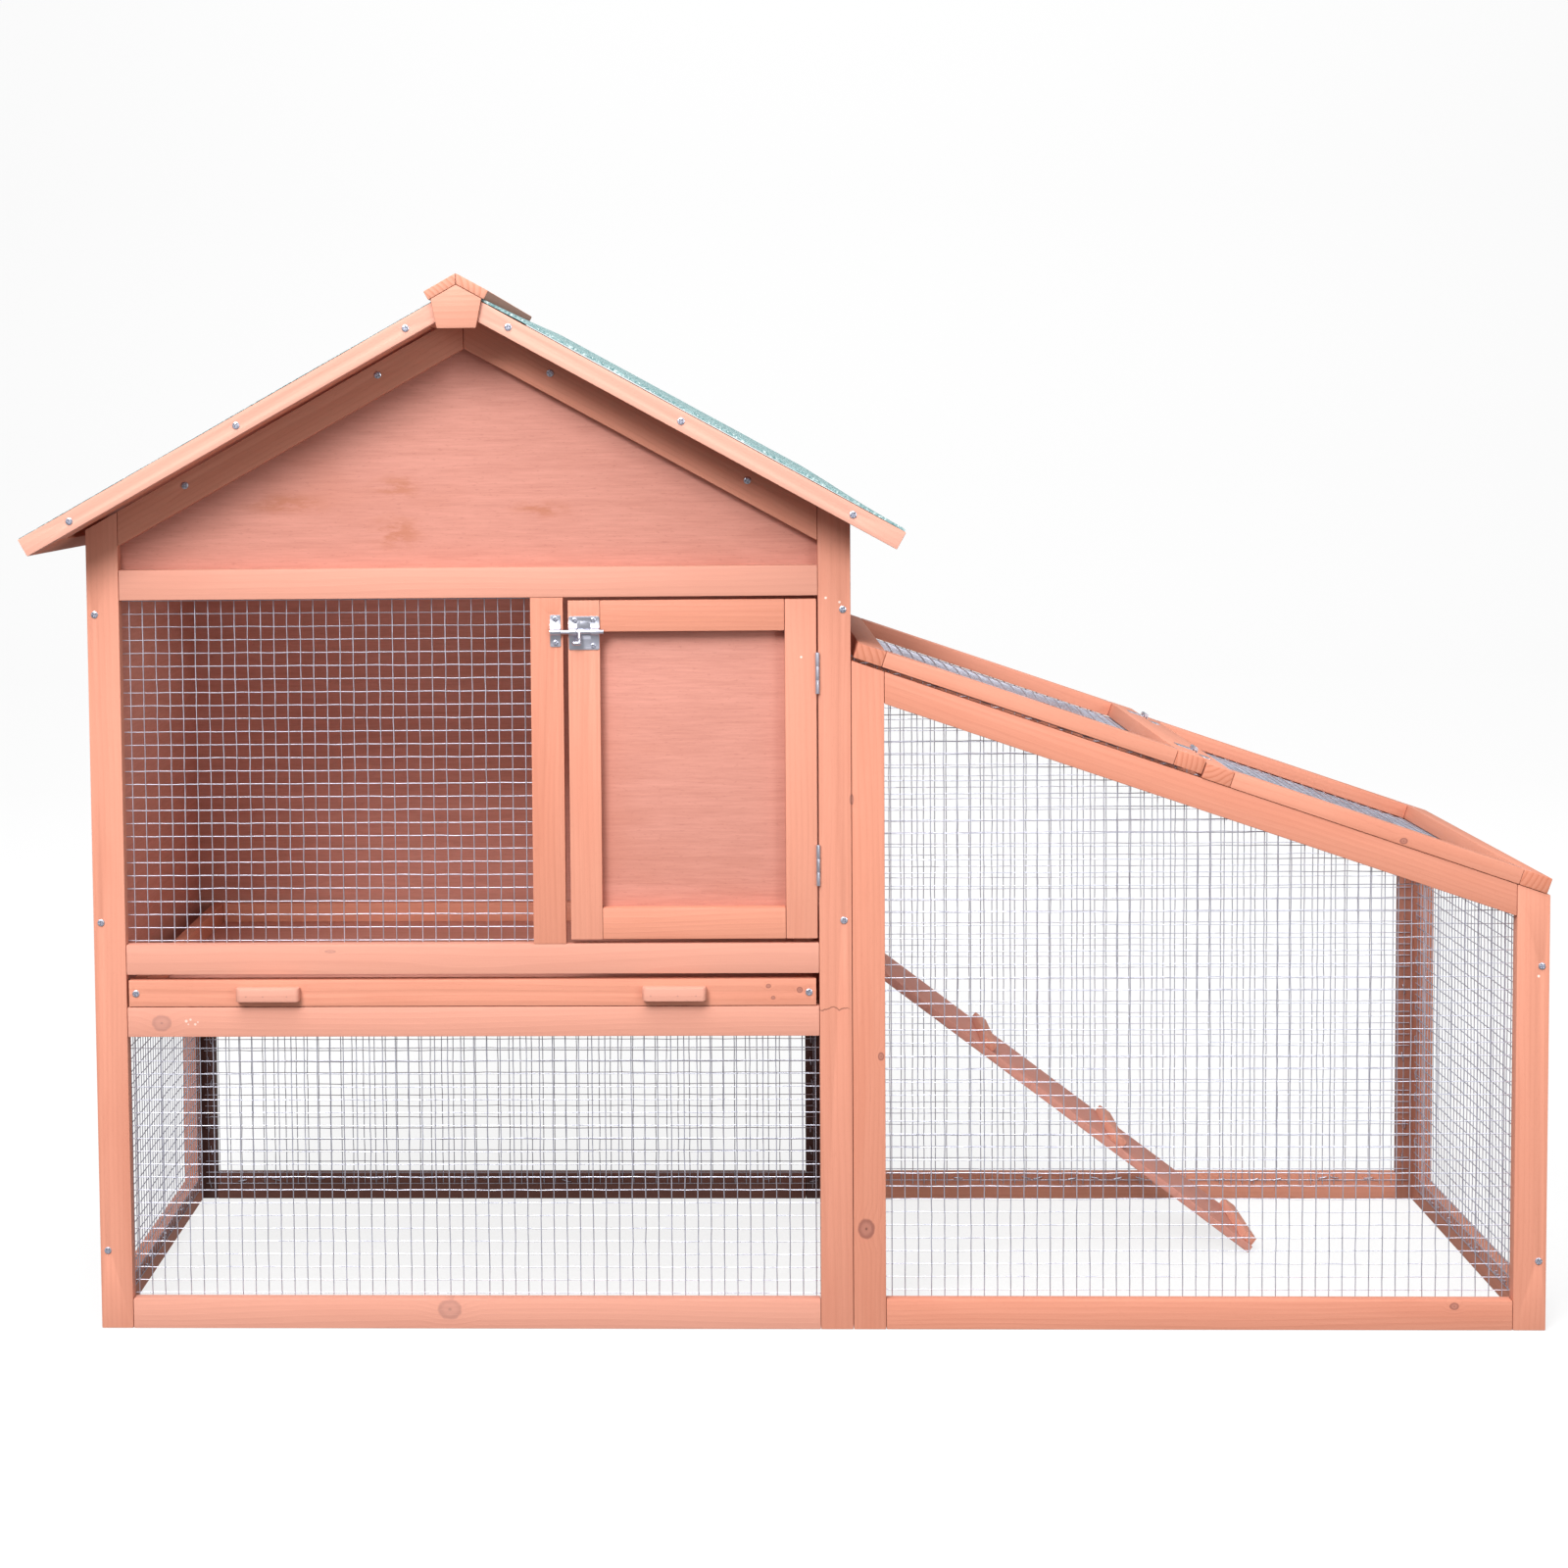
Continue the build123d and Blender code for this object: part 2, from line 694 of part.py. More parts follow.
rod_tip = keeper_x[1] - rod_engagement
rod_tail = bolt_plate_x[1] + rod_tail_length
with BuildPart() as bolt_rod:
    with BuildSketch(Plane.YZ.offset(rod_tip)):
        with Locations((bolt_axis_y, bolt_z)):
            Circle(bolt_rod_radius)
    extrude(amount=rod_tail - rod_tip)
    chamfer(bolt_rod.edges().filter_by(GeomType.CIRCLE).group_by(Axis.X)[0], length=0.8)
    with BuildLine(Plane.YZ.offset(knob_x)) as knob_path:
        Polyline(
            (bolt_axis_y, bolt_z),
            (bolt_axis_y - knob_reach, bolt_z - knob_drop / 2),
            (bolt_axis_y - knob_reach, bolt_z - knob_drop),
        )
        fillet(knob_path.vertices().group_by(Axis.Z)[1], radius=2.0)
    with BuildSketch(Plane(origin=knob_path.line @ 0, z_dir=knob_path.line % 0)):
        Circle(knob_radius)
    sweep(path=knob_path.line)
    knob_end = (bolt_axis_y - knob_reach, bolt_z - knob_drop)
    with Locations((knob_x, *knob_end), (knob_x - knob_curl, *knob_end)):
        Sphere(knob_radius + knob_bead_lip)
    with BuildSketch(Plane.YZ.offset(knob_x - knob_curl)):
        with Locations(knob_end):
            Circle(knob_radius)
    extrude(amount=knob_curl)
finish(bolt_rod, "bolt_rod")

with BuildPart() as door_screws:
    screws(metal_face_plane, plate_screws, small_head, small_shank)
finish(door_screws, "door_screws")

# ================================================================ roof
with BuildPart() as roof_frames:
    for side in (-1, 1):
        plane = roof_plane(side)
        inner_y = (roof_front + board, roof_back - board)
        roof_layer(side, (0, roof_batten), roof_batten_width, inner_y)
        slab(plane, (roof_run - roof_batten_width, roof_run), inner_y, (0, roof_batten))
        rafter_u = (roof_batten_width + joint_gap, roof_run - roof_batten_width - joint_gap)
        for y in (inner_y[0] + roof_batten_width / 2, 0, inner_y[1] - roof_batten_width / 2):
            slab(plane, rafter_u, (y - roof_batten_width / 2, y + roof_batten_width / 2), (0, roof_batten))
finish(roof_frames, "roof_frames")

with BuildPart() as roof_sheets:
    for side in (-1, 1):
        roof_layer(side, (roof_batten, roof_thickness), roof_run, (roof_front + board, roof_back - board))
finish(roof_sheets, "roof_sheets")

with BuildPart() as roof_felts:
    for side in (-1, 1):
        roof_layer(side, (roof_thickness, roof_thickness + felt), roof_run - felt, (roof_front, roof_back))
finish(roof_felts, "roof_felts")

with BuildPart() as barge_boards:
    for side in (-1, 1):
        for y in ((roof_front, roof_front + board), (roof_back - board, roof_back)):
            roof_layer(side, (0, roof_thickness), roof_run, y)
    drill(gable_front_plane, barge_screws)
    drill(gable_back_plane, mirrored(barge_screws))
finish(barge_boards, "barge_boards")

cap_bottom = roof_thickness + felt + cap_clearance
cap_top = cap_bottom + cap_thickness
cap_y = (roof_front - end_plate, roof_back + end_plate)
with BuildPart() as ridge_boards:
    for side in (-1, 1):
        roof_layer(side, (cap_bottom, cap_top), cap_width - cap_top * roof_tan, cap_y)
finish(ridge_boards, "ridge_boards")

with BuildPart() as ridge_end_plates:
    apex = ridge_under + (cap_bottom - cap_clearance / 2) / roof_cos
    shoulder = apex - end_plate_top / 2 * roof_tan
    foot = shoulder - end_plate_drop
    for y in ((cap_y[0], roof_front), (roof_back, cap_y[1])):
        outline(
            [(ridge_x - end_plate_bottom / 2, foot), (ridge_x + end_plate_bottom / 2, foot),
             (ridge_x + end_plate_top / 2, shoulder), (ridge_x, apex),
             (ridge_x - end_plate_top / 2, shoulder)],
            y,
        )
finish(ridge_end_plates, "ridge_end_plates")

# ================================================================ run: frames
run_rail_x = (run_open_left + joint_gap, run_open_right - joint_gap)


def run_posts(y):
    """Adds the two posts of a run frame, their tops cut to the run's slope."""
    for x in ((run_left, run_open_left), (run_open_right, run_right)):
        outline([(x[0], 0), (x[1], 0), (x[1], run_line(x[1])), (x[0], run_line(x[0]))], y)


def run_rails(y):
    """Adds the bottom rail and the raking rail of a run frame."""
    timber(run_rail_x, y, (0, rail_width))
    depth = rail_width / run_cos
    top = [(x, run_line(x)) for x in run_rail_x]
    outline([*top, (top[1][0], top[1][1] - depth), (top[0][0], top[0][1] - depth)], y)


def run_wires(plane, u):
    """Adds a wire panel cut off along the raking rail."""
    wire_panel(plane, u, (rail_width - sheet_lap, run_line(run_open_left)))
    drop = (rail_width - sheet_lap) / run_cos
    cut = Plane(
        origin=(run_left, 0, run_line(run_left) - drop),
        x_dir=(run_cos, 0, -run_sin),
        z_dir=(run_sin, 0, run_cos),
    )
    split(bisect_by=cut, keep=Keep.BOTTOM)


with BuildPart() as run_front_posts:
    run_posts((front, front_inner))
    drill(front_plane, run_post_screws)
finish(run_front_posts, "run_front_posts")

with BuildPart() as run_front_rails:
    run_rails((front, front_inner))
finish(run_front_rails, "run_front_rails")

with BuildPart() as run_front_mesh:
    run_wires(front_inner_plane, (-run_open_right - sheet_lap, -run_open_left + sheet_lap))
finish(run_front_mesh, "run_front_mesh")

with BuildPart() as run_back_posts:
    run_posts((back_inner, back))
    drill(back_plane, mirrored(run_post_screws))
finish(run_back_posts, "run_back_posts")

with BuildPart() as run_back_rails:
    run_rails((back_inner, back))
finish(run_back_rails, "run_back_rails")

with BuildPart() as run_back_mesh:
    run_wires(back_inner_plane, (run_open_left - sheet_lap, run_open_right + sheet_lap))
finish(run_back_mesh, "run_back_mesh")

run_side_rails = ((0, rail_width), (run_side_top - rail_width, run_side_top))
with BuildPart() as run_side_frame:
    side_frame((run_right - board, run_right), run_side_top, run_side_rails)
finish(run_side_frame, "run_side_frame")

with BuildPart() as run_side_mesh:
    wire_panel(
        run_side_inner_plane,
        (side_rail_y[0] - sheet_lap, side_rail_y[1] + sheet_lap),
        (rail_width - sheet_lap, run_side_top - rail_width + sheet_lap),
    )
finish(run_side_mesh, "run_side_mesh")

# ================================================================ run: the two lids
lid_y = (front - lid_side_overhang, back + lid_side_overhang)
fixed_top = fixed_lid_gap + board
open_top = lid_rest_gap + board
middle_x = lid_plane.origin.X
lid_low_end = (run_right + lid_end_overhang - middle_x - fixed_top * run_sin) / run_cos
lid_high_end = (house_right + lid_top_clearance - middle_x - lid_rest_gap * run_sin) / run_cos


def lid_frame(u, gap):
    """Adds two full-depth cross rails and the two stiles between them, gap above the run's slope."""
    n = (gap, gap + board)
    slab(lid_plane, (u[0], u[0] + lid_rail), lid_y, n)
    slab(lid_plane, (u[1] - lid_rail, u[1]), lid_y, n)
    between = (u[0] + lid_rail + joint_gap, u[1] - lid_rail - joint_gap)
    slab(lid_plane, between, (lid_y[0], lid_y[0] + rail_width), n)
    slab(lid_plane, between, (lid_y[1] - rail_width, lid_y[1]), n)


def lid_wires(u, gap):
    """Adds the wire panel under a lid, clear of the rails that the lid rests on."""
    under = Plane(
        origin=lid_plane.origin + lid_plane.z_dir * gap, x_dir=lid_plane.x_dir, z_dir=lid_plane.z_dir * -1
    )
    inset = lid_rail - sheet_lap
    reach = back_inner - lid_top_clearance
    wire_panel(under, (u[0] + inset, u[1] - inset), (-reach, reach))


fixed_u = (lid_seam, lid_low_end)
open_u = (lid_high_end, -lid_seam)
with BuildPart() as fixed_lid_frame:
    lid_frame(fixed_u, fixed_lid_gap)
finish(fixed_lid_frame, "fixed_lid_frame")

with BuildPart() as fixed_lid_mesh:
    lid_wires(fixed_u, fixed_lid_gap)
finish(fixed_lid_mesh, "fixed_lid_mesh")

with BuildPart() as opening_lid_frame:
    lid_frame(open_u, lid_rest_gap)
finish(opening_lid_frame, "opening_lid_frame")

with BuildPart() as opening_lid_mesh:
    lid_wires(open_u, lid_rest_gap)
finish(opening_lid_mesh, "opening_lid_mesh")

# ---------------------------------------------------------------- lid hinges
lid_axis_n = open_top + knuckle + leaf_clearance
lid_axis = lid_plane.origin + lid_plane.z_dir * lid_axis_n
lid_hinge_planes = [
    Plane(
        origin=lid_axis + Vector(0, side * lid_hinge_at - lid_hinge_length / 2, 0),
        x_dir=lid_plane.x_dir,
        z_dir=(0, 1, 0),
    )
    for side in (-1, 1)
]
lid_leaf_reach = (knuckle + leaf_clearance, flap_leaf_width)


def below(n):
    """Local y of a hinge plane for a height n above the run's slope: that axis points down."""
    return lid_axis_n - n


with BuildPart() as moving_lid_leaves:
    for plane in lid_hinge_planes:
        barrel(plane, lid_hinge_length, "middle")
        level = (below(open_top + leaf), below(open_top))
        slab(plane, (-lid_leaf_reach[1], -lid_leaf_reach[0]), level, (0, lid_hinge_length))
        web = (-(knuckle + pin) / 2 - leaf, -leaf)
        for low, high in hinge_ranges(lid_hinge_length, "middle"):
            slab(plane, (-lid_leaf_reach[0], -leaf), level, (low, high))
            slab(plane, web, (knuckle - leaf, below(open_top)), (low, high))
finish(moving_lid_leaves, "moving_lid_leaves")

with BuildPart() as fixed_lid_leaves:
    for plane in lid_hinge_planes:
        barrel(plane, lid_hinge_length, "outer")
        level = (below(fixed_top + leaf), below(fixed_top))
        slab(plane, lid_leaf_reach, level, (0, lid_hinge_length))
        for low, high in hinge_ranges(lid_hinge_length, "outer"):
            slab(plane, ((knuckle + pin) / 2, lid_leaf_reach[0]), (0, below(fixed_top)), (low, high))
finish(fixed_lid_leaves, "fixed_lid_leaves")

# ================================================================ ramp
ramp_cos = cos(radians(ramp_angle))
ramp_sin = sin(radians(ramp_angle))
ramp_hinge_x = house_right + knuckle + leaf_clearance
ramp_top = -(knuckle + leaf_clearance)  # the board's top face, below the hinge axis
ramp_under = ramp_top - ramp_board_thickness
ramp_length = (ramp_hinge_height + ramp_under * ramp_cos - ramp_foot) / ramp_sin
ramp_y = (doorway_middle - ramp_width / 2, doorway_middle + ramp_width / 2)
ramp_axis = Vector(ramp_hinge_x, 0, ramp_hinge_height)
ramp_plane = Plane(origin=ramp_axis, x_dir=(ramp_cos, 0, -ramp_sin), z_dir=(ramp_sin, 0, ramp_cos))
ramp_wall_gap = leaf + 2 * leaf_clearance


def ramp_point(s, m):
    """The (x, z) of a point s down the ramp and m above the hinge axis, square to the board."""
    return (ramp_hinge_x + s * ramp_cos + m * ramp_sin, ramp_hinge_height - s * ramp_sin + m * ramp_cos)


def plumb(m):
    """How far down the ramp the plumb cut beside the wall starts, at the level m."""
    return (house_right + ramp_wall_gap - ramp_hinge_x - m * ramp_sin) / ramp_cos


with BuildPart() as ramp_board:
    outline(
        [ramp_point(plumb(ramp_under), ramp_under), ramp_point(ramp_length, ramp_under),
         ramp_point(ramp_length, ramp_top), ramp_point(plumb(ramp_top), ramp_top)],
        ramp_y,
    )
finish(ramp_board, "ramp_board")

with BuildPart() as ramp_cleats:
    for step in range(cleat_count):
        low_edge = ramp_length - step * cleat_spacing
        half = cleat_length / 2
        slab(
            ramp_plane,
            (low_edge - cleat_width, low_edge),
            (doorway_middle - half, doorway_middle + half),
            (ramp_top, ramp_top + cleat_height),
        )
finish(ramp_cleats, "ramp_cleats")

ramp_hinge_planes = [
    Plane(
        origin=ramp_axis + Vector(0, doorway_middle + side * ramp_hinge_inset - ramp_hinge_length / 2, 0),
        x_dir=ramp_plane.x_dir,
        z_dir=(0, 1, 0),
    )
    for side in (-1, 1)
]
with BuildPart() as ramp_hinge_leaves:
    for plane in ramp_hinge_planes:
        barrel(plane, ramp_hinge_length, "middle")
        level = (-ramp_top - leaf, -ramp_top)
        slab(plane, (knuckle + leaf_clearance, flap_leaf_width), level, (0, ramp_hinge_length))
        for low, high in hinge_ranges(ramp_hinge_length, "middle"):
            slab(plane, (leaf, knuckle + leaf_clearance), level, (low, high))
            slab(plane, (leaf, (knuckle + pin) / 2 + leaf), (knuckle - leaf, -ramp_top), (low, high))
finish(ramp_hinge_leaves, "ramp_hinge_leaves")

with BuildPart() as wall_hinge_leaves:
    for plane in ramp_hinge_planes:
        # local axes: towards the wall, and up
        upright = Plane(origin=plane.origin, x_dir=(-1, 0, 0), z_dir=(0, 1, 0))
        barrel(upright, ramp_hinge_length, "outer")
        against = (knuckle + leaf_clearance - leaf, knuckle + leaf_clearance)
        slab(upright, against, (-flap_leaf_width, -knuckle - leaf_clearance), (0, ramp_hinge_length))
        for low, high in hinge_ranges(ramp_hinge_length, "outer"):
            slab(upright, against, (-knuckle - leaf_clearance, 0), (low, high))
            slab(upright, ((knuckle + pin) / 2, knuckle + leaf_clearance), (-leaf, 0), (low, high))
finish(wall_hinge_leaves, "wall_hinge_leaves")

# ================================================================ hinge pins and frame screws
with BuildPart() as hinge_pins:
    for plane in door_hinge_planes:
        hinge_pin(plane, hinge_height)
    for plane in lid_hinge_planes:
        hinge_pin(plane, lid_hinge_length)
    for plane in ramp_hinge_planes:
        hinge_pin(plane, ramp_hinge_length)
finish(hinge_pins, "hinge_pins")

with BuildPart() as frame_screws:
    screws(front_plane, left_post_screws + right_post_screws + run_post_screws + rake_screws)
    screws(back_plane, mirrored(left_post_screws + right_post_screws + run_post_screws + rake_screws))
    screws(gable_front_plane, barge_screws)
    screws(gable_back_plane, mirrored(barge_screws))
    screws(metal_face_plane, keeper_screws, small_head, small_shank)
finish(frame_screws, "frame_screws")
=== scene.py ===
# %% Load the coop
import json
import math
import random
import bmesh
import bpy
from mathutils import Matrix, Vector, noise


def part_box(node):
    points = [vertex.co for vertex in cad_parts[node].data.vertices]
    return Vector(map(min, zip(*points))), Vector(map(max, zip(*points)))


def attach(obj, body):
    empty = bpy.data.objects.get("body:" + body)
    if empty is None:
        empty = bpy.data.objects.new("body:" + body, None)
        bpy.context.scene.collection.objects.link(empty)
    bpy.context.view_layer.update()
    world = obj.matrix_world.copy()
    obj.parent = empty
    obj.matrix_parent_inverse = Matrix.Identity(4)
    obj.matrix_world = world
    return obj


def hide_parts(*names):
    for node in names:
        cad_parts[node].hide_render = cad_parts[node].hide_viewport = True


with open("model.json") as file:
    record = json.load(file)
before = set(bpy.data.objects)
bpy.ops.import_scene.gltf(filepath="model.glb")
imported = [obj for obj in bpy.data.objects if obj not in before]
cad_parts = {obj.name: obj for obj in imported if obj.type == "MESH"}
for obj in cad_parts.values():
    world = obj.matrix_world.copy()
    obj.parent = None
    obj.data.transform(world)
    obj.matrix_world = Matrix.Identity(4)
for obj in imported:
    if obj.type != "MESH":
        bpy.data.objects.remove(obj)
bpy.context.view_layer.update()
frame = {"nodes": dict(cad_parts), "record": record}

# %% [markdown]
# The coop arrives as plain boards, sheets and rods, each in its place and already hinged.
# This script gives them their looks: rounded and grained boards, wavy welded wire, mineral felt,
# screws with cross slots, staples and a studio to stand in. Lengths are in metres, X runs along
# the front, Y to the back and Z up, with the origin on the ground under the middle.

chance = random.Random(31)
roof_pitch, run_pitch, ramp_pitch = 29.0, 19.0, 37.3  # degrees
record = frame["record"]
body_of_node = {n: b for b, names in record["behaviour"]["bodies"].items() for n in names}
slot_of_node = {part["node"]: part["material_slot"] for part in record["subparts"]}

# %% [markdown]
# Every finish is made of small sums. A Shade stands for one value in a material, so that adding or
# multiplying two of them places the node that does it. Colours are mixed, and vectors are
# stretched, by methods of their own. One method places any other node.


# %% Shades
class Shade:
    """One value in a material's node tree."""

    def __init__(self, tree, socket=None):
        self.tree = tree
        self.socket = socket

    def node(self, kind, settings=None, inputs=None, output=0):
        made = self.tree.nodes.new(kind)
        for name, value in (settings or {}).items():
            setattr(made, name, value)
        for name, value in (inputs or {}).items():
            if isinstance(value, Shade):
                self.tree.links.new(value.socket, made.inputs[name])
            elif value is not None:
                made.inputs[name].default_value = value
        return Shade(self.tree, made.outputs[output])

    def math(self, operation, a, b=None, c=None):
        return self.node("ShaderNodeMath", {"operation": operation}, {0: a, 1: b, 2: c})

    def __add__(self, other):
        return self.math("ADD", self, other)

    def __radd__(self, other):
        return self.math("ADD", other, self)

    def __sub__(self, other):
        return self.math("SUBTRACT", self, other)

    def __rsub__(self, other):
        return self.math("SUBTRACT", other, self)

    def __mul__(self, other):
        return self.math("MULTIPLY", self, other)

    def __rmul__(self, other):
        return self.math("MULTIPLY", other, self)

    def __truediv__(self, other):
        return self.math("DIVIDE", self, other)

    def __rtruediv__(self, other):
        return self.math("DIVIDE", other, self)

    def __pow__(self, other):
        return self.math("POWER", self, other)

    def step(self, low, high):
        """0 below low, 1 above high, smooth between."""
        kind = {"interpolation_type": "SMOOTHSTEP"}
        return self.node("ShaderNodeMapRange", kind, {"Value": self, "From Min": low, "From Max": high})

    def between(self, a, b):
        """Mixes two colours, with this value as the share of b."""
        kind = {"data_type": "RGBA", "clamp_factor": True}
        return self.node("ShaderNodeMix", kind, {0: self, 6: a, 7: b}, 2)

    def vector(self, operation, other, output=0):
        return self.node("ShaderNodeVectorMath", {"operation": operation}, {0: self, 1: other}, output)

    def parts(self):
        split = self.node("ShaderNodeSeparateXYZ", None, {0: self})
        return [Shade(self.tree, socket) for socket in split.socket.node.outputs]

    def noise(self, stretch, detail=3.0, roughness=0.5, scale=1.0):
        """Noise over this vector, stretched by three factors."""
        place = self.vector("MULTIPLY", stretch)
        values = {"Vector": place, "Scale": scale, "Detail": detail, "Roughness": roughness}
        return self.node("ShaderNodeTexNoise", None, values)


class Finish:
    """A material with one Principled shader."""

    def __init__(self, name, **constants):
        self.material = bpy.data.materials.new(name)
        self.material.use_nodes = True
        self.tree = self.material.node_tree
        self.shader = self.tree.nodes["Principled BSDF"]
        self.start = Shade(self.tree)
        for socket, value in constants.items():
            self.shader.inputs[socket.replace("_", " ")].default_value = value

    def feed(self, socket, shade):
        self.tree.links.new(shade.socket, self.shader.inputs[socket])

    def bump(self, height, strength, distance):
        values = {"Height": height, "Strength": strength, "Distance": distance}
        self.feed("Normal", self.start.node("ShaderNodeBump", None, values))

    def place(self):
        return self.start.node("ShaderNodeTexCoord", None, None, "Object")

    def mark(self, name, output="Vector"):
        return self.start.node("ShaderNodeAttribute", {"attribute_name": name}, None, output)


# %% [markdown]
# Stained fir. Each board carries its own coordinates: along its length, across its width and
# through its thickness, shifted by chance, so no two boards share a figure. Growth rings are
# circles round a far-off pith, bent by slow noise. Knots push the rings aside and darken.


# %% Timber
knots = [
    # x, z, half length, half height, on the coop's front face
    (-0.6070, 0.3002, 0.0088, 0.0074),
    (-0.3316, 0.0192, 0.0107, 0.0093),
    (0.0712, 0.0986, 0.0074, 0.0093),
    (0.0859, 0.2665, 0.0028, 0.0037),
    (0.6319, 0.0236, 0.0042, 0.0033),
    (-0.0215, 0.3351, 0.0023, 0.0020),
    (-0.0169, 0.3237, 0.0020, 0.0017),
    (0.0085, 0.3312, 0.0028, 0.0028),
    (0.5799, 0.4724, 0.0037, 0.0028),
    (0.0588, 0.5142, 0.0019, 0.0047),
    (-0.4424, 0.3696, 0.0052, 0.0015),
]
pale_dots = [
    # x, z, radius: nail heads and flecks of filler on the front face
    (0.0350, 0.7070, 0.0012), (0.0480, 0.7029, 0.0012), (0.0115, 0.6508, 0.0011),
    (0.7081, 0.3426, 0.0013), (-0.5832, 0.3021, 0.0014), (-0.5790, 0.3036, 0.0011),
    (-0.5745, 0.2990, 0.0012), (-0.5720, 0.3012, 0.0008), (-0.5812, 0.2990, 0.0008),
]
brad_holes = [(-0.5230, 0.3278), (-0.5067, 0.3278), (-0.4837, 0.3278), (-0.1341, 0.3278),
              (-0.1083, 0.3278), (-0.0909, 0.3278)]  # x, z, on the faces of the two grips
brad_radius = 0.0009
pale_colour = (0.660, 0.345, 0.275, 1)
# painted shade: dark brown laid over the back and side frames, standing in for the shade they lie in
painted_shade_colour = (0.060, 0.028, 0.026, 1)
split_height = 0.3122  # a short split across the post beside the tray


def timber_finish(name, light, dark, stain, knotty=True):
    wood = Finish(name, Specular_IOR_Level=0.28)
    grain = wood.mark("grain")
    tone = wood.mark("tone", "Fac")
    end = wood.mark("end", "Fac")
    along, across, through = grain.parts()
    slow = grain.noise((2.2, 14.0, 14.0), 2.0)
    pith = (across * across + through * through) ** 0.5 + (slow - 0.5) * 0.022
    core, rim, heart = 0.0, 0.0, 0.0
    if knotty:
        place = wood.place()
        x, y, z = place.parts()
        front_only = 1.0 - y.step(-0.240, -0.225)
        ragged = (place.noise((230.0, 0.0, 230.0), 2.0) - 0.5) * 0.30
        for kx, kz, long, wide in knots:
            far = (((x - kx) / long) ** 2.0 + ((z - kz) / wide) ** 2.0) ** 0.5
            near = (1.0 - far.step(0.4, 3.2)) * front_only
            pith = pith + near * 0.006
            frayed = far + ragged
            core = core + (1.0 - frayed.step(0.84, 1.14)) * front_only
            rim = rim + frayed.step(0.45, 0.95) * (1.0 - frayed.step(0.95, 1.20)) * front_only
            heart = heart + (1.0 - far.step(0.08, 0.22)) * front_only
    saw = wood.start.math("FRACT", pith / 0.0050)
    late = saw.step(0.35, 0.98) * (1.0 - saw.step(0.975, 1.0))
    fibre = grain.noise((26.0, 1500.0, 1500.0), 4.0, 0.62)
    streak = grain.noise((5.0, 240.0, 240.0), 3.0, 0.55)
    patch = grain.noise((5.0, 30.0, 30.0), 2.0)
    pores = grain.noise((190.0, 1900.0, 1900.0), 2.0).step(0.60, 0.74)
    depth = late * 0.12 + (streak - 0.45) * 0.36 + (fibre - 0.5) * 0.36 + (tone - 0.5) * 0.24 + 0.08
    colour = depth.between(light, dark)
    colour = (patch.step(0.48, 0.72) * 0.38).between(colour, stain)
    colour = (pores * 0.22).between(colour, dark)
    end_colour = (dark[0] * 0.95, dark[1] * 0.80, dark[2] * 0.62, 1)
    colour = (end * (0.26 + late * 0.34)).between(colour, end_colour)
    if knotty:
        colour = (core * 0.85).between(colour, (0.390, 0.160, 0.120, 1))
        colour = (rim * 0.62).between(colour, (0.240, 0.082, 0.062, 1))
        colour = (heart * 0.7).between(colour, (0.130, 0.045, 0.035, 1))
        fleck = 0.0
        for dx, dz, radius in pale_dots:
            far = ((x - dx) ** 2.0 + (z - dz) ** 2.0) ** 0.5
            fleck = fleck + (1.0 - far.step(radius * 0.7, radius * 1.2)) * front_only
        colour = (fleck * 0.75).between(colour, (0.86, 0.80, 0.74, 1))
        hole = 0.0
        for dx, dz in brad_holes:
            far = ((x - dx) ** 2.0 + (z - dz) ** 2.0) ** 0.5
            hole = hole + (1.0 - far.step(brad_radius * 0.5, brad_radius * 1.3))
        grip_only = 1.0 - y.step(-0.2590, -0.2560)
        colour = (hole * grip_only * 0.75).between(colour, (0.18, 0.06, 0.045, 1))
        wander = (place.noise((90.0, 0.0, 20.0), 2.0) - 0.5) * 0.012
        near = wood.start.math("ABSOLUTE", z - split_height + wander)
        span = x.step(0.024, 0.030) * (1.0 - x.step(0.052, 0.0585)) * front_only
        colour = ((1.0 - near.step(0.0002, 0.0009)) * span * 0.8).between(colour, (0.16, 0.05, 0.03, 1))
    # made paler; on the ramp cleats this is painted light against the run's shade
    colour = wood.mark("pale", "Fac").between(colour, pale_colour)
    # painted shade: darkens the back and side frames as if they were in shadow
    colour = wood.mark("painted_shade", "Fac").between(colour, painted_shade_colour)
    wood.feed("Base Color", colour)
    wood.feed("Roughness", 0.50 + fibre * 0.16 + end * 0.12 - late * 0.05)
    wood.bump(late * 0.5 + fibre * 0.9 - pores * 0.4, 0.34, 0.00035)
    return wood.material


timber_light = (0.645, 0.268, 0.180, 1)
timber_dark = (0.430, 0.140, 0.080, 1)
timber_stain = (0.560, 0.200, 0.125, 1)
trim_light = (0.680, 0.335, 0.245, 1)
trim_dark = (0.460, 0.180, 0.115, 1)
trim_stain = (0.60, 0.26, 0.18, 1)
finishes = {
    "timber": timber_finish("stained_fir", timber_light, timber_dark, timber_stain),
    "roof_trim": timber_finish("stained_fir_roof", trim_light, trim_dark, trim_stain, False),
}
print("timber finishes:", len(finishes))

# %% [markdown]
# Plywood has one broad veneer figure on its face, and takes the stain in brown blotches. Stain has
# been wiped into the gable sheet in a few places. The felt is crushed slate on bitumen: fine grains
# of several greens, with scattered lighter grains and lighter patches.


# %% Sheets, felt and metal
smudges = [
    # x, z, half length, half height: brown stain wiped on the gable sheet
    (-0.374, 0.815, 0.030, 0.013),
    (-0.374, 0.772, 0.032, 0.020),
    (-0.236, 0.793, 0.034, 0.010),
    (-0.480, 0.800, 0.050, 0.012),
]


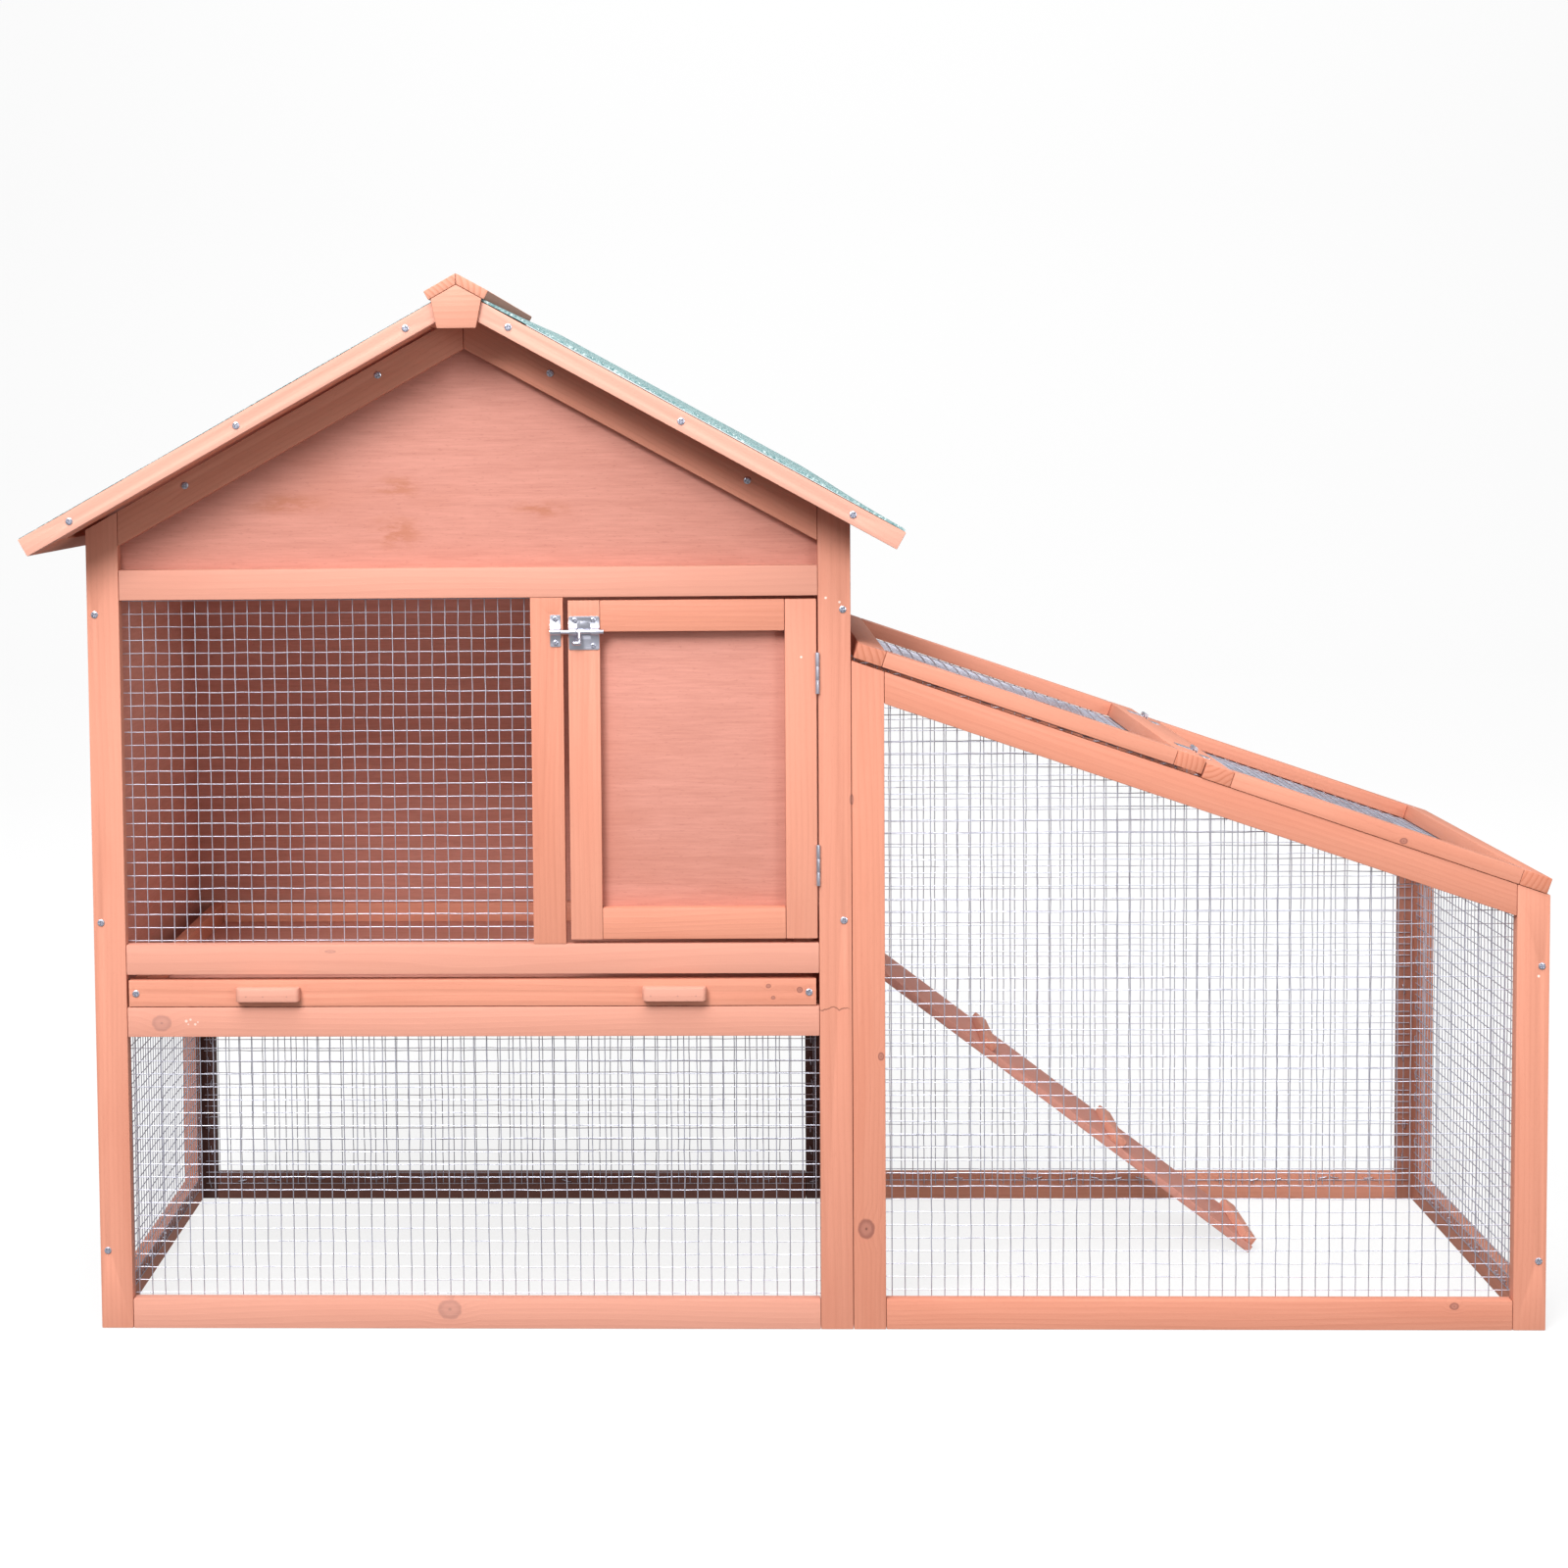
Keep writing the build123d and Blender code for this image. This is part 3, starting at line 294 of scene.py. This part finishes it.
def plywood_finish():
    ply = Finish("stained_plywood", Specular_IOR_Level=0.25)
    grain = ply.mark("grain")
    tone = ply.mark("tone", "Fac")
    along, across, through = grain.parts()
    slow = grain.noise((1.6, 5.0, 0.0), 3.0)
    rings = ply.start.math("FRACT", (across + (slow - 0.5) * 0.30) / 0.028)
    late = rings.step(0.1, 0.95) * (1.0 - rings.step(0.95, 1.0))
    fibre = grain.noise((34.0, 460.0, 460.0), 5.0, 0.72)
    streak = grain.noise((9.0, 150.0, 150.0), 3.0, 0.6)
    blotch = grain.noise((5.0, 9.0, 0.0), 3.0).step(0.50, 0.74)
    fleck = grain.noise((150.0, 520.0, 0.0), 2.0).step(0.60, 0.70)
    depth = late * 0.07 + (fibre - 0.5) * 0.85 + (streak - 0.5) * 0.45 + (tone - 0.5) * 0.2 + 0.14
    colour = depth.between((0.585, 0.262, 0.205, 1), (0.350, 0.125, 0.092, 1))
    colour = (blotch * 0.30).between(colour, (0.430, 0.150, 0.095, 1))
    colour = (fleck * 0.20).between(colour, (0.300, 0.100, 0.070, 1))
    place = ply.place()
    x, y, z = place.parts()
    rubbed = place.noise((40.0, 0.0, 110.0), 4.0, 0.6).step(0.40, 0.60)
    wiped = 0.0
    for sx, sz, long, high in smudges:
        far = (((x - sx) / long) ** 2.0 + ((z - sz) / high) ** 2.0) ** 0.5
        wiped = wiped + (1.0 - far.step(0.2, 1.15))
    front_only = 1.0 - y.step(-0.225, -0.215)
    colour = (wiped * rubbed * front_only * 0.55).between(colour, (0.400, 0.135, 0.066, 1))
    ply.feed("Base Color", colour)
    ply.feed("Roughness", 0.50 + fibre * 0.2)
    ply.bump(fibre + late * 0.3, 0.25, 0.0003)
    return ply.material


def felt_finish():
    felt = Finish("mineral_felt", Specular_IOR_Level=0.22)
    place = felt.place()
    coarse = place.noise((1.0, 1.0, 1.0), 2.0, 0.5, 9.0)
    grit = place.noise((1.0, 1.0, 1.0), 3.0, 0.8, 900.0)
    cells = felt.start.node("ShaderNodeTexVoronoi", None, {"Vector": place, "Scale": 620.0}, "Color")
    red, green, blue = cells.parts()
    colour = red.between((0.108, 0.220, 0.226, 1), (0.318, 0.455, 0.462, 1))
    colour = (green.step(0.80, 0.92) * 0.75).between(colour, (0.60, 0.70, 0.69, 1))
    colour = (coarse.step(0.5, 0.8) * 0.3).between(colour, (0.32, 0.45, 0.44, 1))
    felt.feed("Base Color", colour)
    felt.feed("Roughness", 0.72 + blue * 0.2)
    felt.bump(grit + red * 0.7, 0.6, 0.0009)
    return felt.material


def metal_finish(name, bright, dull, rough):
    metal = Finish(name)
    place = metal.place()
    cloud = place.noise((1.0, 1.0, 1.0), 3.0, 0.6, 38.0)
    scratch = place.noise((1.0, 1.0, 1.0), 5.0, 0.7, 700.0)
    wear = cloud.step(0.42, 0.70)
    metal.feed("Base Color", (wear * 0.7 + scratch * 0.2).between(bright, dull))
    metal.feed("Metallic", 0.95 - wear * 0.30)
    metal.feed("Roughness", rough + wear * 0.16 + scratch * 0.10)
    metal.bump(scratch, 0.12, 0.0001)
    return metal.material


finishes["plywood"] = plywood_finish()
finishes["felt"] = felt_finish()
finishes["wire"] = metal_finish("galvanised_wire", (0.62, 0.63, 0.73, 1), (0.46, 0.47, 0.55, 1), 0.36)
finishes["zinc"] = metal_finish("zinc_plate", (0.60, 0.61, 0.70, 1), (0.38, 0.38, 0.45, 1), 0.26)
for name, piece in frame["nodes"].items():
    piece.data.materials.clear()
    piece.data.materials.append(finishes[slot_of_node[name]])
print("finishes:", sorted(finishes))

# %% [markdown]
# A board is found in its frame as one closed skin. Its long axis gives the grain. The skin is
# joined up, its flat faces merged, its edges eased as a planer leaves them, and each board
# gets a chance tone and a chance place in the log.


# %% Boards
def skins(node):
    """The separate closed skins of a node, as bmesh pieces with their doubled corners joined."""
    whole = bmesh.new()
    whole.from_mesh(frame["nodes"][node].data)
    bmesh.ops.remove_doubles(whole, verts=whole.verts, dist=2e-6)
    left = set(whole.verts)
    groups = []
    while left:
        stack = [left.pop()]
        group = []
        while stack:
            vert = stack.pop()
            group.append(vert)
            for edge in vert.link_edges:
                other = edge.other_vert(vert)
                if other in left:
                    left.remove(other)
                    stack.append(other)
        groups.append(group)
    return whole, groups


def long_axes(points):
    """Unit directions of a skin: along, across and through, by how far it reaches each way."""
    tries = [Vector(v) for v in ((1, 0, 0), (0, 1, 0), (0, 0, 1))]
    for angle in (roof_pitch, -roof_pitch, run_pitch, -ramp_pitch):
        c, s = math.cos(math.radians(angle)), math.sin(math.radians(angle))
        tries += [Vector((c, 0, -s)), Vector((s, 0, c))]

    def reach(axis):
        values = [axis.dot(p) for p in points]
        return max(values) - min(values)

    through = min(tries, key=reach)
    flat = [t for t in tries if abs(t.dot(through)) < 1e-3]
    across = min(flat, key=reach)
    return through.cross(across).normalized(), across, through


def new_piece(name, mesh, nodes, smooth=True):
    """Puts a finished mesh on its body, in its slot, in place of its nodes."""
    node = nodes[0]
    piece = bpy.data.objects.new(name, mesh)
    bpy.context.scene.collection.objects.link(piece)
    mesh.materials.append(finishes[slot_of_node[node]])
    for face in mesh.polygons:
        face.use_smooth = smooth
    if smooth:
        mesh.set_sharp_from_angle(angle=math.radians(38))
    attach(piece, body_of_node[node])
    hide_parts(*nodes)
    return piece


# How far each node's boards are darkened with painted shade for the shaded back and side frames,
# shifted in tone, or made paler; the ramp's lower tone and its cleats' paleness are painted light.
painted_shade_nodes = {"back_posts": 0.93, "back_rails": 0.80, "run_back_posts": 0.50, "run_back_rails": 0.12,
              "back_rake_rails": 0.3, "left_side_frame": 0.22, "run_side_frame": 0.16}
# the ramp board's lower tone makes it lighter: painted light that lifts it out of the run's shade
tone_nodes = {"ridge_end_plates": 1.4, "ramp_board": -1.0}
# paler boards; on the ramp cleats the paleness is painted light against the run's shade
pale_nodes = {"front_rails": 0.42, "tray_handles": 0.55, "front_posts": 0.08, "door_stiles": 0.08,
              "barge_boards": 0.48, "ramp_cleats": 0.35}


def boards(node, ease=0.0011, along=None):
    """Stands for every board of a node, with eased edges and its own grain."""
    whole, groups = skins(node)
    out = bmesh.new()
    grain = out.verts.layers.float_vector.new("grain")
    tone = out.verts.layers.float.new("tone")
    painted_shade = out.verts.layers.float.new("painted_shade")
    pale = out.verts.layers.float.new("pale")
    end = out.faces.layers.float.new("end")
    for group in groups:
        points = [v.co.copy() for v in group]
        axes = long_axes(points)
        if along is not None:
            first = Vector(along)
            axes = (first, axes[2].cross(first).normalized(), axes[2])
        middle = sum(points, Vector()) / len(points)
        shift = Vector((chance.uniform(0, 40), chance.uniform(0.02, 0.07), chance.uniform(-0.03, 0.03)))
        shade = chance.random() + tone_nodes.get(node, 0.0)
        one = bmesh.new()
        table = {v: one.verts.new(v.co) for v in group}
        for face in {f for v in group for f in v.link_faces}:
            one.faces.new([table[v] for v in face.verts])
        bmesh.ops.dissolve_limit(one, angle_limit=0.01, verts=one.verts, edges=one.edges)
        sharp = [e for e in one.edges if len(e.link_faces) == 2 and e.calc_face_angle(0) > 0.6]
        size = ease * chance.uniform(0.8, 1.25)
        bmesh.ops.bevel(
            one, geom=sharp, offset=size, segments=2, profile=0.6, affect="EDGES", clamp_overlap=True
        )
        copies = {}
        for vert in one.verts:
            made = out.verts.new(vert.co)
            local = vert.co - middle
            made[grain] = Vector([local.dot(axis) for axis in axes]) + shift
            made[tone] = shade
            # this node's share of painted shade
            made[painted_shade] = painted_shade_nodes.get(node, 0.0)
            made[pale] = pale_nodes.get(node, 0.0)
            copies[vert] = made
        for face in one.faces:
            made = out.faces.new([copies[v] for v in face.verts])
            made[end] = 1.0 if abs(face.normal.dot(axes[0])) > 0.75 else 0.0
        one.free()
    whole.free()
    mesh = bpy.data.meshes.new(node + "_look")
    out.normal_update()
    out.to_mesh(mesh)
    out.free()
    return new_piece(node + "_look", mesh, [node])


board_nodes = [
    "front_posts", "front_rails", "front_stile", "front_rake_rails", "back_posts", "back_rails",
    "back_rake_rails", "left_side_frame", "right_side_frame", "tray_runners", "tray_front", "tray_walls",
    "door_stiles", "door_rails", "roof_frames", "barge_boards", "ridge_boards", "ridge_end_plates",
    "run_front_posts", "run_front_rails", "run_back_posts", "run_back_rails", "run_side_frame",
    "fixed_lid_frame", "opening_lid_frame", "ramp_cleats",
]
sheet_nodes = {
    "front_gable_panel": (1, 0, 0),
    "back_wall_panel": (1, 0, 0),
    "left_wall_panel": (0, 1, 0),
    "right_wall_panel": (0, 1, 0),
    "door_panel": (1, 0, 0),
    "roof_sheets": (0, 1, 0),
    "tray_floor": (1, 0, 0),
}
made_boards = [boards(node) for node in board_nodes]
made_boards += [boards(node, 0.0005, along) for node, along in sheet_nodes.items()]
made_boards.append(boards("ramp_board", 0.0009))
made_boards.append(boards("tray_handles", 0.0022))
metal_nodes = [
    "bolt_plate", "bolt_keeper", "bolt_rod", "door_hinge_leaves", "post_hinge_leaves", "moving_lid_leaves",
    "fixed_lid_leaves", "ramp_hinge_leaves", "wall_hinge_leaves", "hinge_pins",
]
made_boards += [boards(node, 0.00022) for node in metal_nodes]
print("board sets:", len(made_boards))

# %% [markdown]
# Welded wire. Each wire keeps the run of its straight rod but wanders a little, and the whole
# panel bellies gently between the boards it is stapled to. The staples are bent wire too.


# %% Wire tools
wire_radius = 0.00048
staple_wire_radius = 0.00055


def tube(out, points, radius, sides=6):
    """Adds a round tube through the points, closed at both ends."""
    rings = []
    count = len(points)
    for i, point in enumerate(points):
        ahead = (points[min(i + 1, count - 1)] - points[max(i - 1, 0)]).normalized()
        side = ahead.cross(Vector((0.31, 0.17, 0.93))).normalized()
        up = ahead.cross(side)
        ring = []
        for k in range(sides):
            turn = 2 * math.pi * k / sides
            ring.append(out.verts.new(point + (side * math.cos(turn) + up * math.sin(turn)) * radius))
        rings.append(ring)
    for low, high in zip(rings, rings[1:]):
        for k in range(sides):
            nxt = (k + 1) % sides
            out.faces.new((low[k], high[k], high[nxt], low[nxt]))
    out.faces.new(rings[0])
    out.faces.new(rings[-1][::-1])


def rods(node):
    """The two ends of every straight rod in a node."""
    whole, groups = skins(node)
    found = []
    for group in groups:
        points = [v.co for v in group]
        axis = long_axes(points)[0]
        values = [axis.dot(p) for p in points]
        low, high = min(values), max(values)
        middle = sum(points, Vector()) / len(points)
        a = middle + axis * (low - axis.dot(middle))
        b = middle + axis * (high - axis.dot(middle))
        found.append((a.copy(), b.copy(), axis.copy()))
    whole.free()
    return found


def wire_panel(node, pitch, belly, held):
    """Stands for a wire panel. belly is how far it bulges, and held how wide its stapled edge is."""
    found = rods(node)
    one_way = found[0][2]
    other_way = next(axis for a, b, axis in found if abs(axis.dot(one_way)) < 0.9)
    normal = one_way.cross(other_way).normalized()
    ends = [p for a, b, axis in found for p in (a, b)]
    spans = []
    for axis in (one_way, other_way):
        spans.append((min(axis.dot(p) for p in ends), max(axis.dot(p) for p in ends)))
    seed = Vector((chance.uniform(0, 50), chance.uniform(0, 50), 0))
    out = bmesh.new()
    for a, b, axis in found:
        length = (b - a).length
        steps = max(4, round(length / pitch))
        phase = chance.uniform(0, 30)
        sideways = normal.cross(axis)
        points = []
        for i in range(steps + 1):
            p = a.lerp(b, i / steps)
            u, v = one_way.dot(p), other_way.dot(p)
            inside = min(u - spans[0][0], spans[0][1] - u, v - spans[1][0], spans[1][1] - v)
            inside = min(inside, (p - a).length, (b - p).length)
            ease = min(1.0, max(0.0, (inside - held) / 0.05))
            wave = noise.noise(Vector((u * 6, v * 6, 0)) + seed) * belly * ease
            small = noise.noise(Vector((phase, i * 0.55, 0))) * 0.0006 * min(1.0, ease * 2)
            points.append(p + normal * wave + sideways * small)
        tube(out, points, wire_radius)
    mesh = bpy.data.meshes.new(node + "_look")
    out.to_mesh(mesh)
    out.free()
    new_piece(node + "_look", mesh, [node])
    return found, normal


def staples(node, found, facing, every=4):
    """Straddles every few wires with a staple at each end, driven into the board behind."""
    out = bmesh.new()
    lift = max(facing.dot(p) for a, b, axis in found for p in (a, b)) + 0.0011
    for a, b, axis in found[::every]:
        sideways = facing.cross(axis)
        for p, inward in ((a, axis), (b, -axis)):
            if (b - a).length < 0.06:
                continue
            spot = p + inward * chance.uniform(0.004, 0.008)
            spot = spot + facing * (lift - facing.dot(spot))
            turn = chance.uniform(-0.3, 0.3)
            side = (sideways * math.cos(turn) + axis * math.sin(turn)) * 0.0046
            leg = facing * 0.0075
            bend = facing * 0.0006
            tube(out, [spot - side - leg, spot - side - bend, spot - side * 0.85, spot + side * 0.85,
                       spot + side - bend, spot + side - leg], staple_wire_radius)
    mesh = bpy.data.meshes.new(node + "_staples")
    out.to_mesh(mesh)
    out.free()
    piece = bpy.data.objects.new(node + "_staples", mesh)
    bpy.context.scene.collection.objects.link(piece)
    mesh.materials.append(finishes["zinc"])
    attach(piece, body_of_node[node])


# %% Wire panels
lean = math.radians(run_pitch)
lid_down = Vector((math.cos(lean), 0, -math.sin(lean)))
lid_up = Vector((math.sin(lean), 0, math.cos(lean)))
wire_pitch = 0.0127
stapled_edge = 0.014
bellies = {
    # how far the panel bulges, and which way its staples face
    "window_mesh": (0.0010, (0, 1, 0)),
    "front_lower_mesh": (0.0022, (0, 1, 0)),
    "back_lower_mesh": (0.0022, (0, -1, 0)),
    "left_lower_mesh": (0.0015, (1, 0, 0)),
    "run_front_mesh": (0.0024, (0, 1, 0)),
    "run_back_mesh": (0.0024, (0, -1, 0)),
    "run_side_mesh": (0.0016, (-1, 0, 0)),
    "fixed_lid_mesh": (0.0055, -lid_up),
    "opening_lid_mesh": (0.0055, -lid_up),
}
for node, (belly, facing) in bellies.items():
    found, normal = wire_panel(node, wire_pitch, belly, stapled_edge)
    staples(node, found, Vector(facing))
print("wire panels:", len(bellies))

# %% [markdown]
# Screws have a low domed head, turned, with a cross slot pressed into it. The same head serves
# every screw in the boards. Each is turned by chance.


# %% Screws
def head_mesh(out, middle, facing, radius, height):
    """Adds a domed head with a cross slot."""
    turn = chance.uniform(0, math.pi / 2)
    side = facing.cross(Vector((0, 0, 1))).normalized()
    up = facing.cross(side)
    slot_half, slot_long = radius * 0.15, radius * 0.60
    steps = 48
    rings = []
    for share, rise in ((1.0, 0.0), (1.0, 0.35), (0.93, 0.72), (0.75, 0.93), (0.60, 1.0), (0.44, 1.0),
                        (0.30, 1.0), (0.16, 1.0)):
        ring = []
        for k in range(steps):
            angle = 2 * math.pi * k / steps
            x, y = math.cos(angle) * radius * share, math.sin(angle) * radius * share
            inside = min(abs(x), abs(y)) < slot_half and max(abs(x), abs(y)) < slot_long
            z = height * rise - (height * 0.9 if inside else 0.0)
            c, s = math.cos(turn), math.sin(turn)
            ring.append(out.verts.new(middle + side * (x * c - y * s) + up * (x * s + y * c) + facing * z))
        rings.append(ring)
    for low, high in zip(rings, rings[1:]):
        for k in range(steps):
            nxt = (k + 1) % steps
            out.faces.new((low[k], low[nxt], high[nxt], high[k]))
    centre = out.verts.new(middle + facing * height * 0.1)
    for k in range(steps):
        out.faces.new((rings[-1][k], rings[-1][(k + 1) % steps], centre))
    base = out.verts.new(middle - facing * 0.012)
    for k in range(steps):
        out.faces.new((rings[0][(k + 1) % steps], rings[0][k], base))


def screw_set(node):
    """Stands for every screw of a node."""
    whole, groups = skins(node)
    out = bmesh.new()
    for group in groups:
        points = [v.co for v in group]
        low = min(p.y for p in points)
        high = max(p.y for p in points)
        facing = Vector((0, -1, 0)) if low < 0 else Vector((0, 1, 0))
        x = (min(p.x for p in points) + max(p.x for p in points)) / 2
        z = (min(p.z for p in points) + max(p.z for p in points)) / 2
        radius = (max(p.x for p in points) - min(p.x for p in points)) / 2
        top = low if low < 0 else high
        head_mesh(out, Vector((x, top, z)) - facing * 0.0008, facing, radius, 0.0012)
    whole.free()
    mesh = bpy.data.meshes.new(node + "_look")
    bmesh.ops.recalc_face_normals(out, faces=out.faces)
    out.to_mesh(mesh)
    out.free()
    return new_piece(node + "_look", mesh, [node])


for node in ("frame_screws", "tray_screws", "door_screws"):
    screw_set(node)

# %% [markdown]
# The felt is laid over each slope and ripples a little along the eave. On the right it is loose,
# and stands a few millimetres off the sheet. On the left it lies flat, with its front and back
# edges pressed thin.


# %% Roof felt
def felt_slope(side):
    """One slope's felt, from the ridge to the eave."""
    low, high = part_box("roof_felts")
    pitch = math.radians(roof_pitch)
    middle = (low.x + high.x) / 2
    down = Vector((side * math.cos(pitch), 0, -math.sin(pitch)))
    off = Vector((side * math.sin(pitch), 0, math.cos(pitch)))
    thick = 0.0023
    loose = 0.0070 if side > 0 else 0.0002
    ridge = Vector((middle, 0, high.z - thick / math.cos(pitch)))
    length = (high.x - middle) / math.cos(pitch) - thick * math.tan(pitch)
    across, deep = 44, 34
    out = bmesh.new()
    layers = []
    for lift in (0.0, thick):
        rows = []
        for i in range(across + 1):
            s = length * i / across + (lift * math.tan(pitch) if i == 0 else 0.0)
            row = []
            for j in range(deep + 1):
                y = low.y + (high.y - low.y) * j / deep
                edge = min(1.0, 4 * min(i / across, 1 - i / across))
                bow = loose * min(1.0, 7 * i / across, 5 * (1 - i / across)) ** 0.8 * (0.2 + 0.8 * j / deep)
                bow += 0.0008 * edge * noise.noise(Vector((s * 9, y * 7, side)))
                hang = 0.0012 * (i / across) ** 8 * (1 + noise.noise(Vector((y * 14, side * 3.0, 0))))
                wander = 0.0
                if j in (0, deep):
                    wander = 0.0010 * noise.noise(Vector((s * 20, side * 5.0, j / deep * 3)))
                pressed = min(1.0, 0.2 + 0.3 * min(j, deep - j)) if side < 0 else 1.0
                rise = lift * pressed + max(0.0001, bow)
                place = ridge + down * (s + hang) + off * rise + Vector((0, y + wander, 0))
                row.append(out.verts.new(place))
            rows.append(row)
        layers.append(rows)
    bottom, top = layers
    for i in range(across):
        for j in range(deep):
            out.faces.new((top[i][j], top[i + 1][j], top[i + 1][j + 1], top[i][j + 1]))
            out.faces.new((bottom[i][j + 1], bottom[i + 1][j + 1], bottom[i + 1][j], bottom[i][j]))
    for i in range(across):
        for j in (0, deep):
            out.faces.new((top[i][j], bottom[i][j], bottom[i + 1][j], top[i + 1][j]))
    for j in range(deep):
        for i in (0, across):
            out.faces.new((top[i][j], top[i][j + 1], bottom[i][j + 1], bottom[i][j]))
    bmesh.ops.recalc_face_normals(out, faces=out.faces)
    mesh = bpy.data.meshes.new("felt_slope")
    out.to_mesh(mesh)
    out.free()
    return new_piece("felt_left" if side < 0 else "felt_right", mesh, ["roof_felts"])


for side in (-1, 1):
    felt_slope(side)

# %% [markdown]
# Corners of the lids are held by corrugated fasteners, strips of wavy steel driven across the joint
# until they sit flush. Only the bright wavy edge shows.


# %% Corrugated fasteners
def fastener(name, middle, along, facing, body, length=0.022):
    """A wavy strip seen edge-on, standing a hair above the wood."""
    side = facing.cross(along).normalized()
    out = bmesh.new()
    count = 24
    rows = []
    for i in range(count + 1):
        t = i / count
        base = middle + along * (t - 0.5) * length + side * 0.0011 * math.sin(t * 5 * 2 * math.pi)
        row = [out.verts.new(base + side * w * 0.00035 + facing * h) for w, h in
               ((-1, -0.006), (-1, 0.00015), (1, 0.00015), (1, -0.006))]
        rows.append(row)
    for a, b in zip(rows, rows[1:]):
        for k in range(4):
            out.faces.new((a[k], a[(k + 1) % 4], b[(k + 1) % 4], b[k]))
    out.faces.new(rows[0])
    out.faces.new(rows[-1])
    bmesh.ops.recalc_face_normals(out, faces=out.faces)
    mesh = bpy.data.meshes.new(name)
    out.to_mesh(mesh)
    out.free()
    piece = bpy.data.objects.new(name, mesh)
    bpy.context.scene.collection.objects.link(piece)
    mesh.materials.append(finishes["zinc"])
    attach(piece, body)


fastener_inset = 0.028
fastener_y = 0.2335
for node in ("opening_lid_frame", "fixed_lid_frame"):
    points = [v.co.copy() for v in frame["nodes"][node].data.vertices]
    top = max(lid_up.dot(p) for p in points)
    first, last = min(lid_down.dot(p) for p in points), max(lid_down.dot(p) for p in points)
    rows = (first + fastener_inset, last - fastener_inset)
    corners = [(u, y) for u in rows for y in (-fastener_y, fastener_y)]
    for number, (u, y) in enumerate(corners):
        place = lid_down * u + lid_up * top + Vector((0, y, 0))
        fastener(f"{node}_fastener_{number}", place, lid_down, lid_up, body_of_node[node])

# %% [markdown]
# The studio: a white, softly glowing floor that runs up behind, a key lamp high at the left front,
# a wide one overhead that leaves the eaves in shade, a weak low one at the right, one on the sweep
# behind, and an even white sky. A very small lamp inside the house opens up the room.


# %% Studio
stage_mesh = bpy.data.meshes.new("floor")
floor = bmesh.new()
# y, z: flat under the coop, then curved up behind it
sweep = [(-9.0, -0.0004), (4.0, -0.0004), (5.2, 0.16), (6.1, 0.7), (6.6, 1.6), (6.8, 7.0)]
rows = [[floor.verts.new((x, y, z)) for x in (-14, 14)] for y, z in sweep]
for a, b in zip(rows, rows[1:]):
    floor.faces.new((a[0], a[1], b[1], b[0]))
floor.to_mesh(stage_mesh)
floor.free()
backdrop = bpy.data.objects.new("floor", stage_mesh)
bpy.context.scene.collection.objects.link(backdrop)
paper = Finish("white_paper", Emission_Color=(1, 1, 1, 1), Emission_Strength=0.80)
tooth = paper.place().noise((1.0, 1.0, 1.0), 3.0, 0.6, 60.0)
paper.feed("Base Color", tooth.between((0.13, 0.13, 0.13, 1), (0.14, 0.14, 0.14, 1)))
paper.feed("Roughness", 0.85 + tooth * 0.1)
stage_mesh.materials.append(paper.material)
for face in stage_mesh.polygons:
    face.use_smooth = True
backdrop.visible_diffuse = False
backdrop.visible_glossy = False


def lamp(name, place, target, size, power):
    data = bpy.data.lights.new(name, "AREA")
    data.shape = "DISK"
    data.size = size
    data.energy = power
    thing = bpy.data.objects.new(name, data)
    thing.location = place
    thing.rotation_euler = (Vector(target) - Vector(place)).to_track_quat("-Z", "Y").to_euler()
    thing.visible_camera = False
    thing.visible_glossy = name != "indoor"
    bpy.context.scene.collection.objects.link(thing)


# name, place, what it points at, size, watts
lamp("key", (-1.4, -4.0, 3.1), (-0.1, 0, 0.4), 1.9, 225)
lamp("overhead", (-0.3, -1.7, 4.2), (0, 0.2, 0.3), 4.2, 200)
lamp("fill", (2.0, -3.2, 1.1), (-0.3, 0, 0.5), 1.0, 26)
lamp("indoor", (-0.36, -0.16, 0.70), (-0.50, 0.24, 0.40), 0.20, 0.40)
lamp("backdrop", (0.4, 2.6, 5.0), (0, 6.6, 1.2), 4.0, 190)
world = bpy.data.worlds.new("sky")
world.use_nodes = True
world.node_tree.nodes["Background"].inputs["Color"].default_value = (1, 1, 1, 1)
world.node_tree.nodes["Background"].inputs["Strength"].default_value = 0.34
scene = bpy.context.scene
scene.world = world
scene.view_settings.view_transform = "Standard"
scene.view_settings.look = "None"

# %% Camera
pitch_down, yaw, roll = 0.0666, -0.0376, 0.0097
level = math.cos(pitch_down)
ahead = Vector((math.sin(yaw) * level, math.cos(yaw) * level, -math.sin(pitch_down)))
right = Vector((math.cos(yaw), -math.sin(yaw), 0))
down = ahead.cross(right)
right_rolled = right * math.cos(roll) + down * math.sin(roll)
down_rolled = down * math.cos(roll) - right * math.sin(roll)
lens = bpy.data.cameras.new("camera")
lens.lens = 67.25
lens.sensor_width = 36
lens.shift_x = 0.1121
lens.shift_y = -0.1028
camera = bpy.data.objects.new("camera", lens)
turned = Matrix((right_rolled, -down_rolled, -ahead)).transposed()
camera_place = (-0.06708, -3.02735, 0.87029)
camera.matrix_world = Matrix.Translation(camera_place) @ turned.to_4x4()
scene.collection.objects.link(camera)
scene.camera = camera
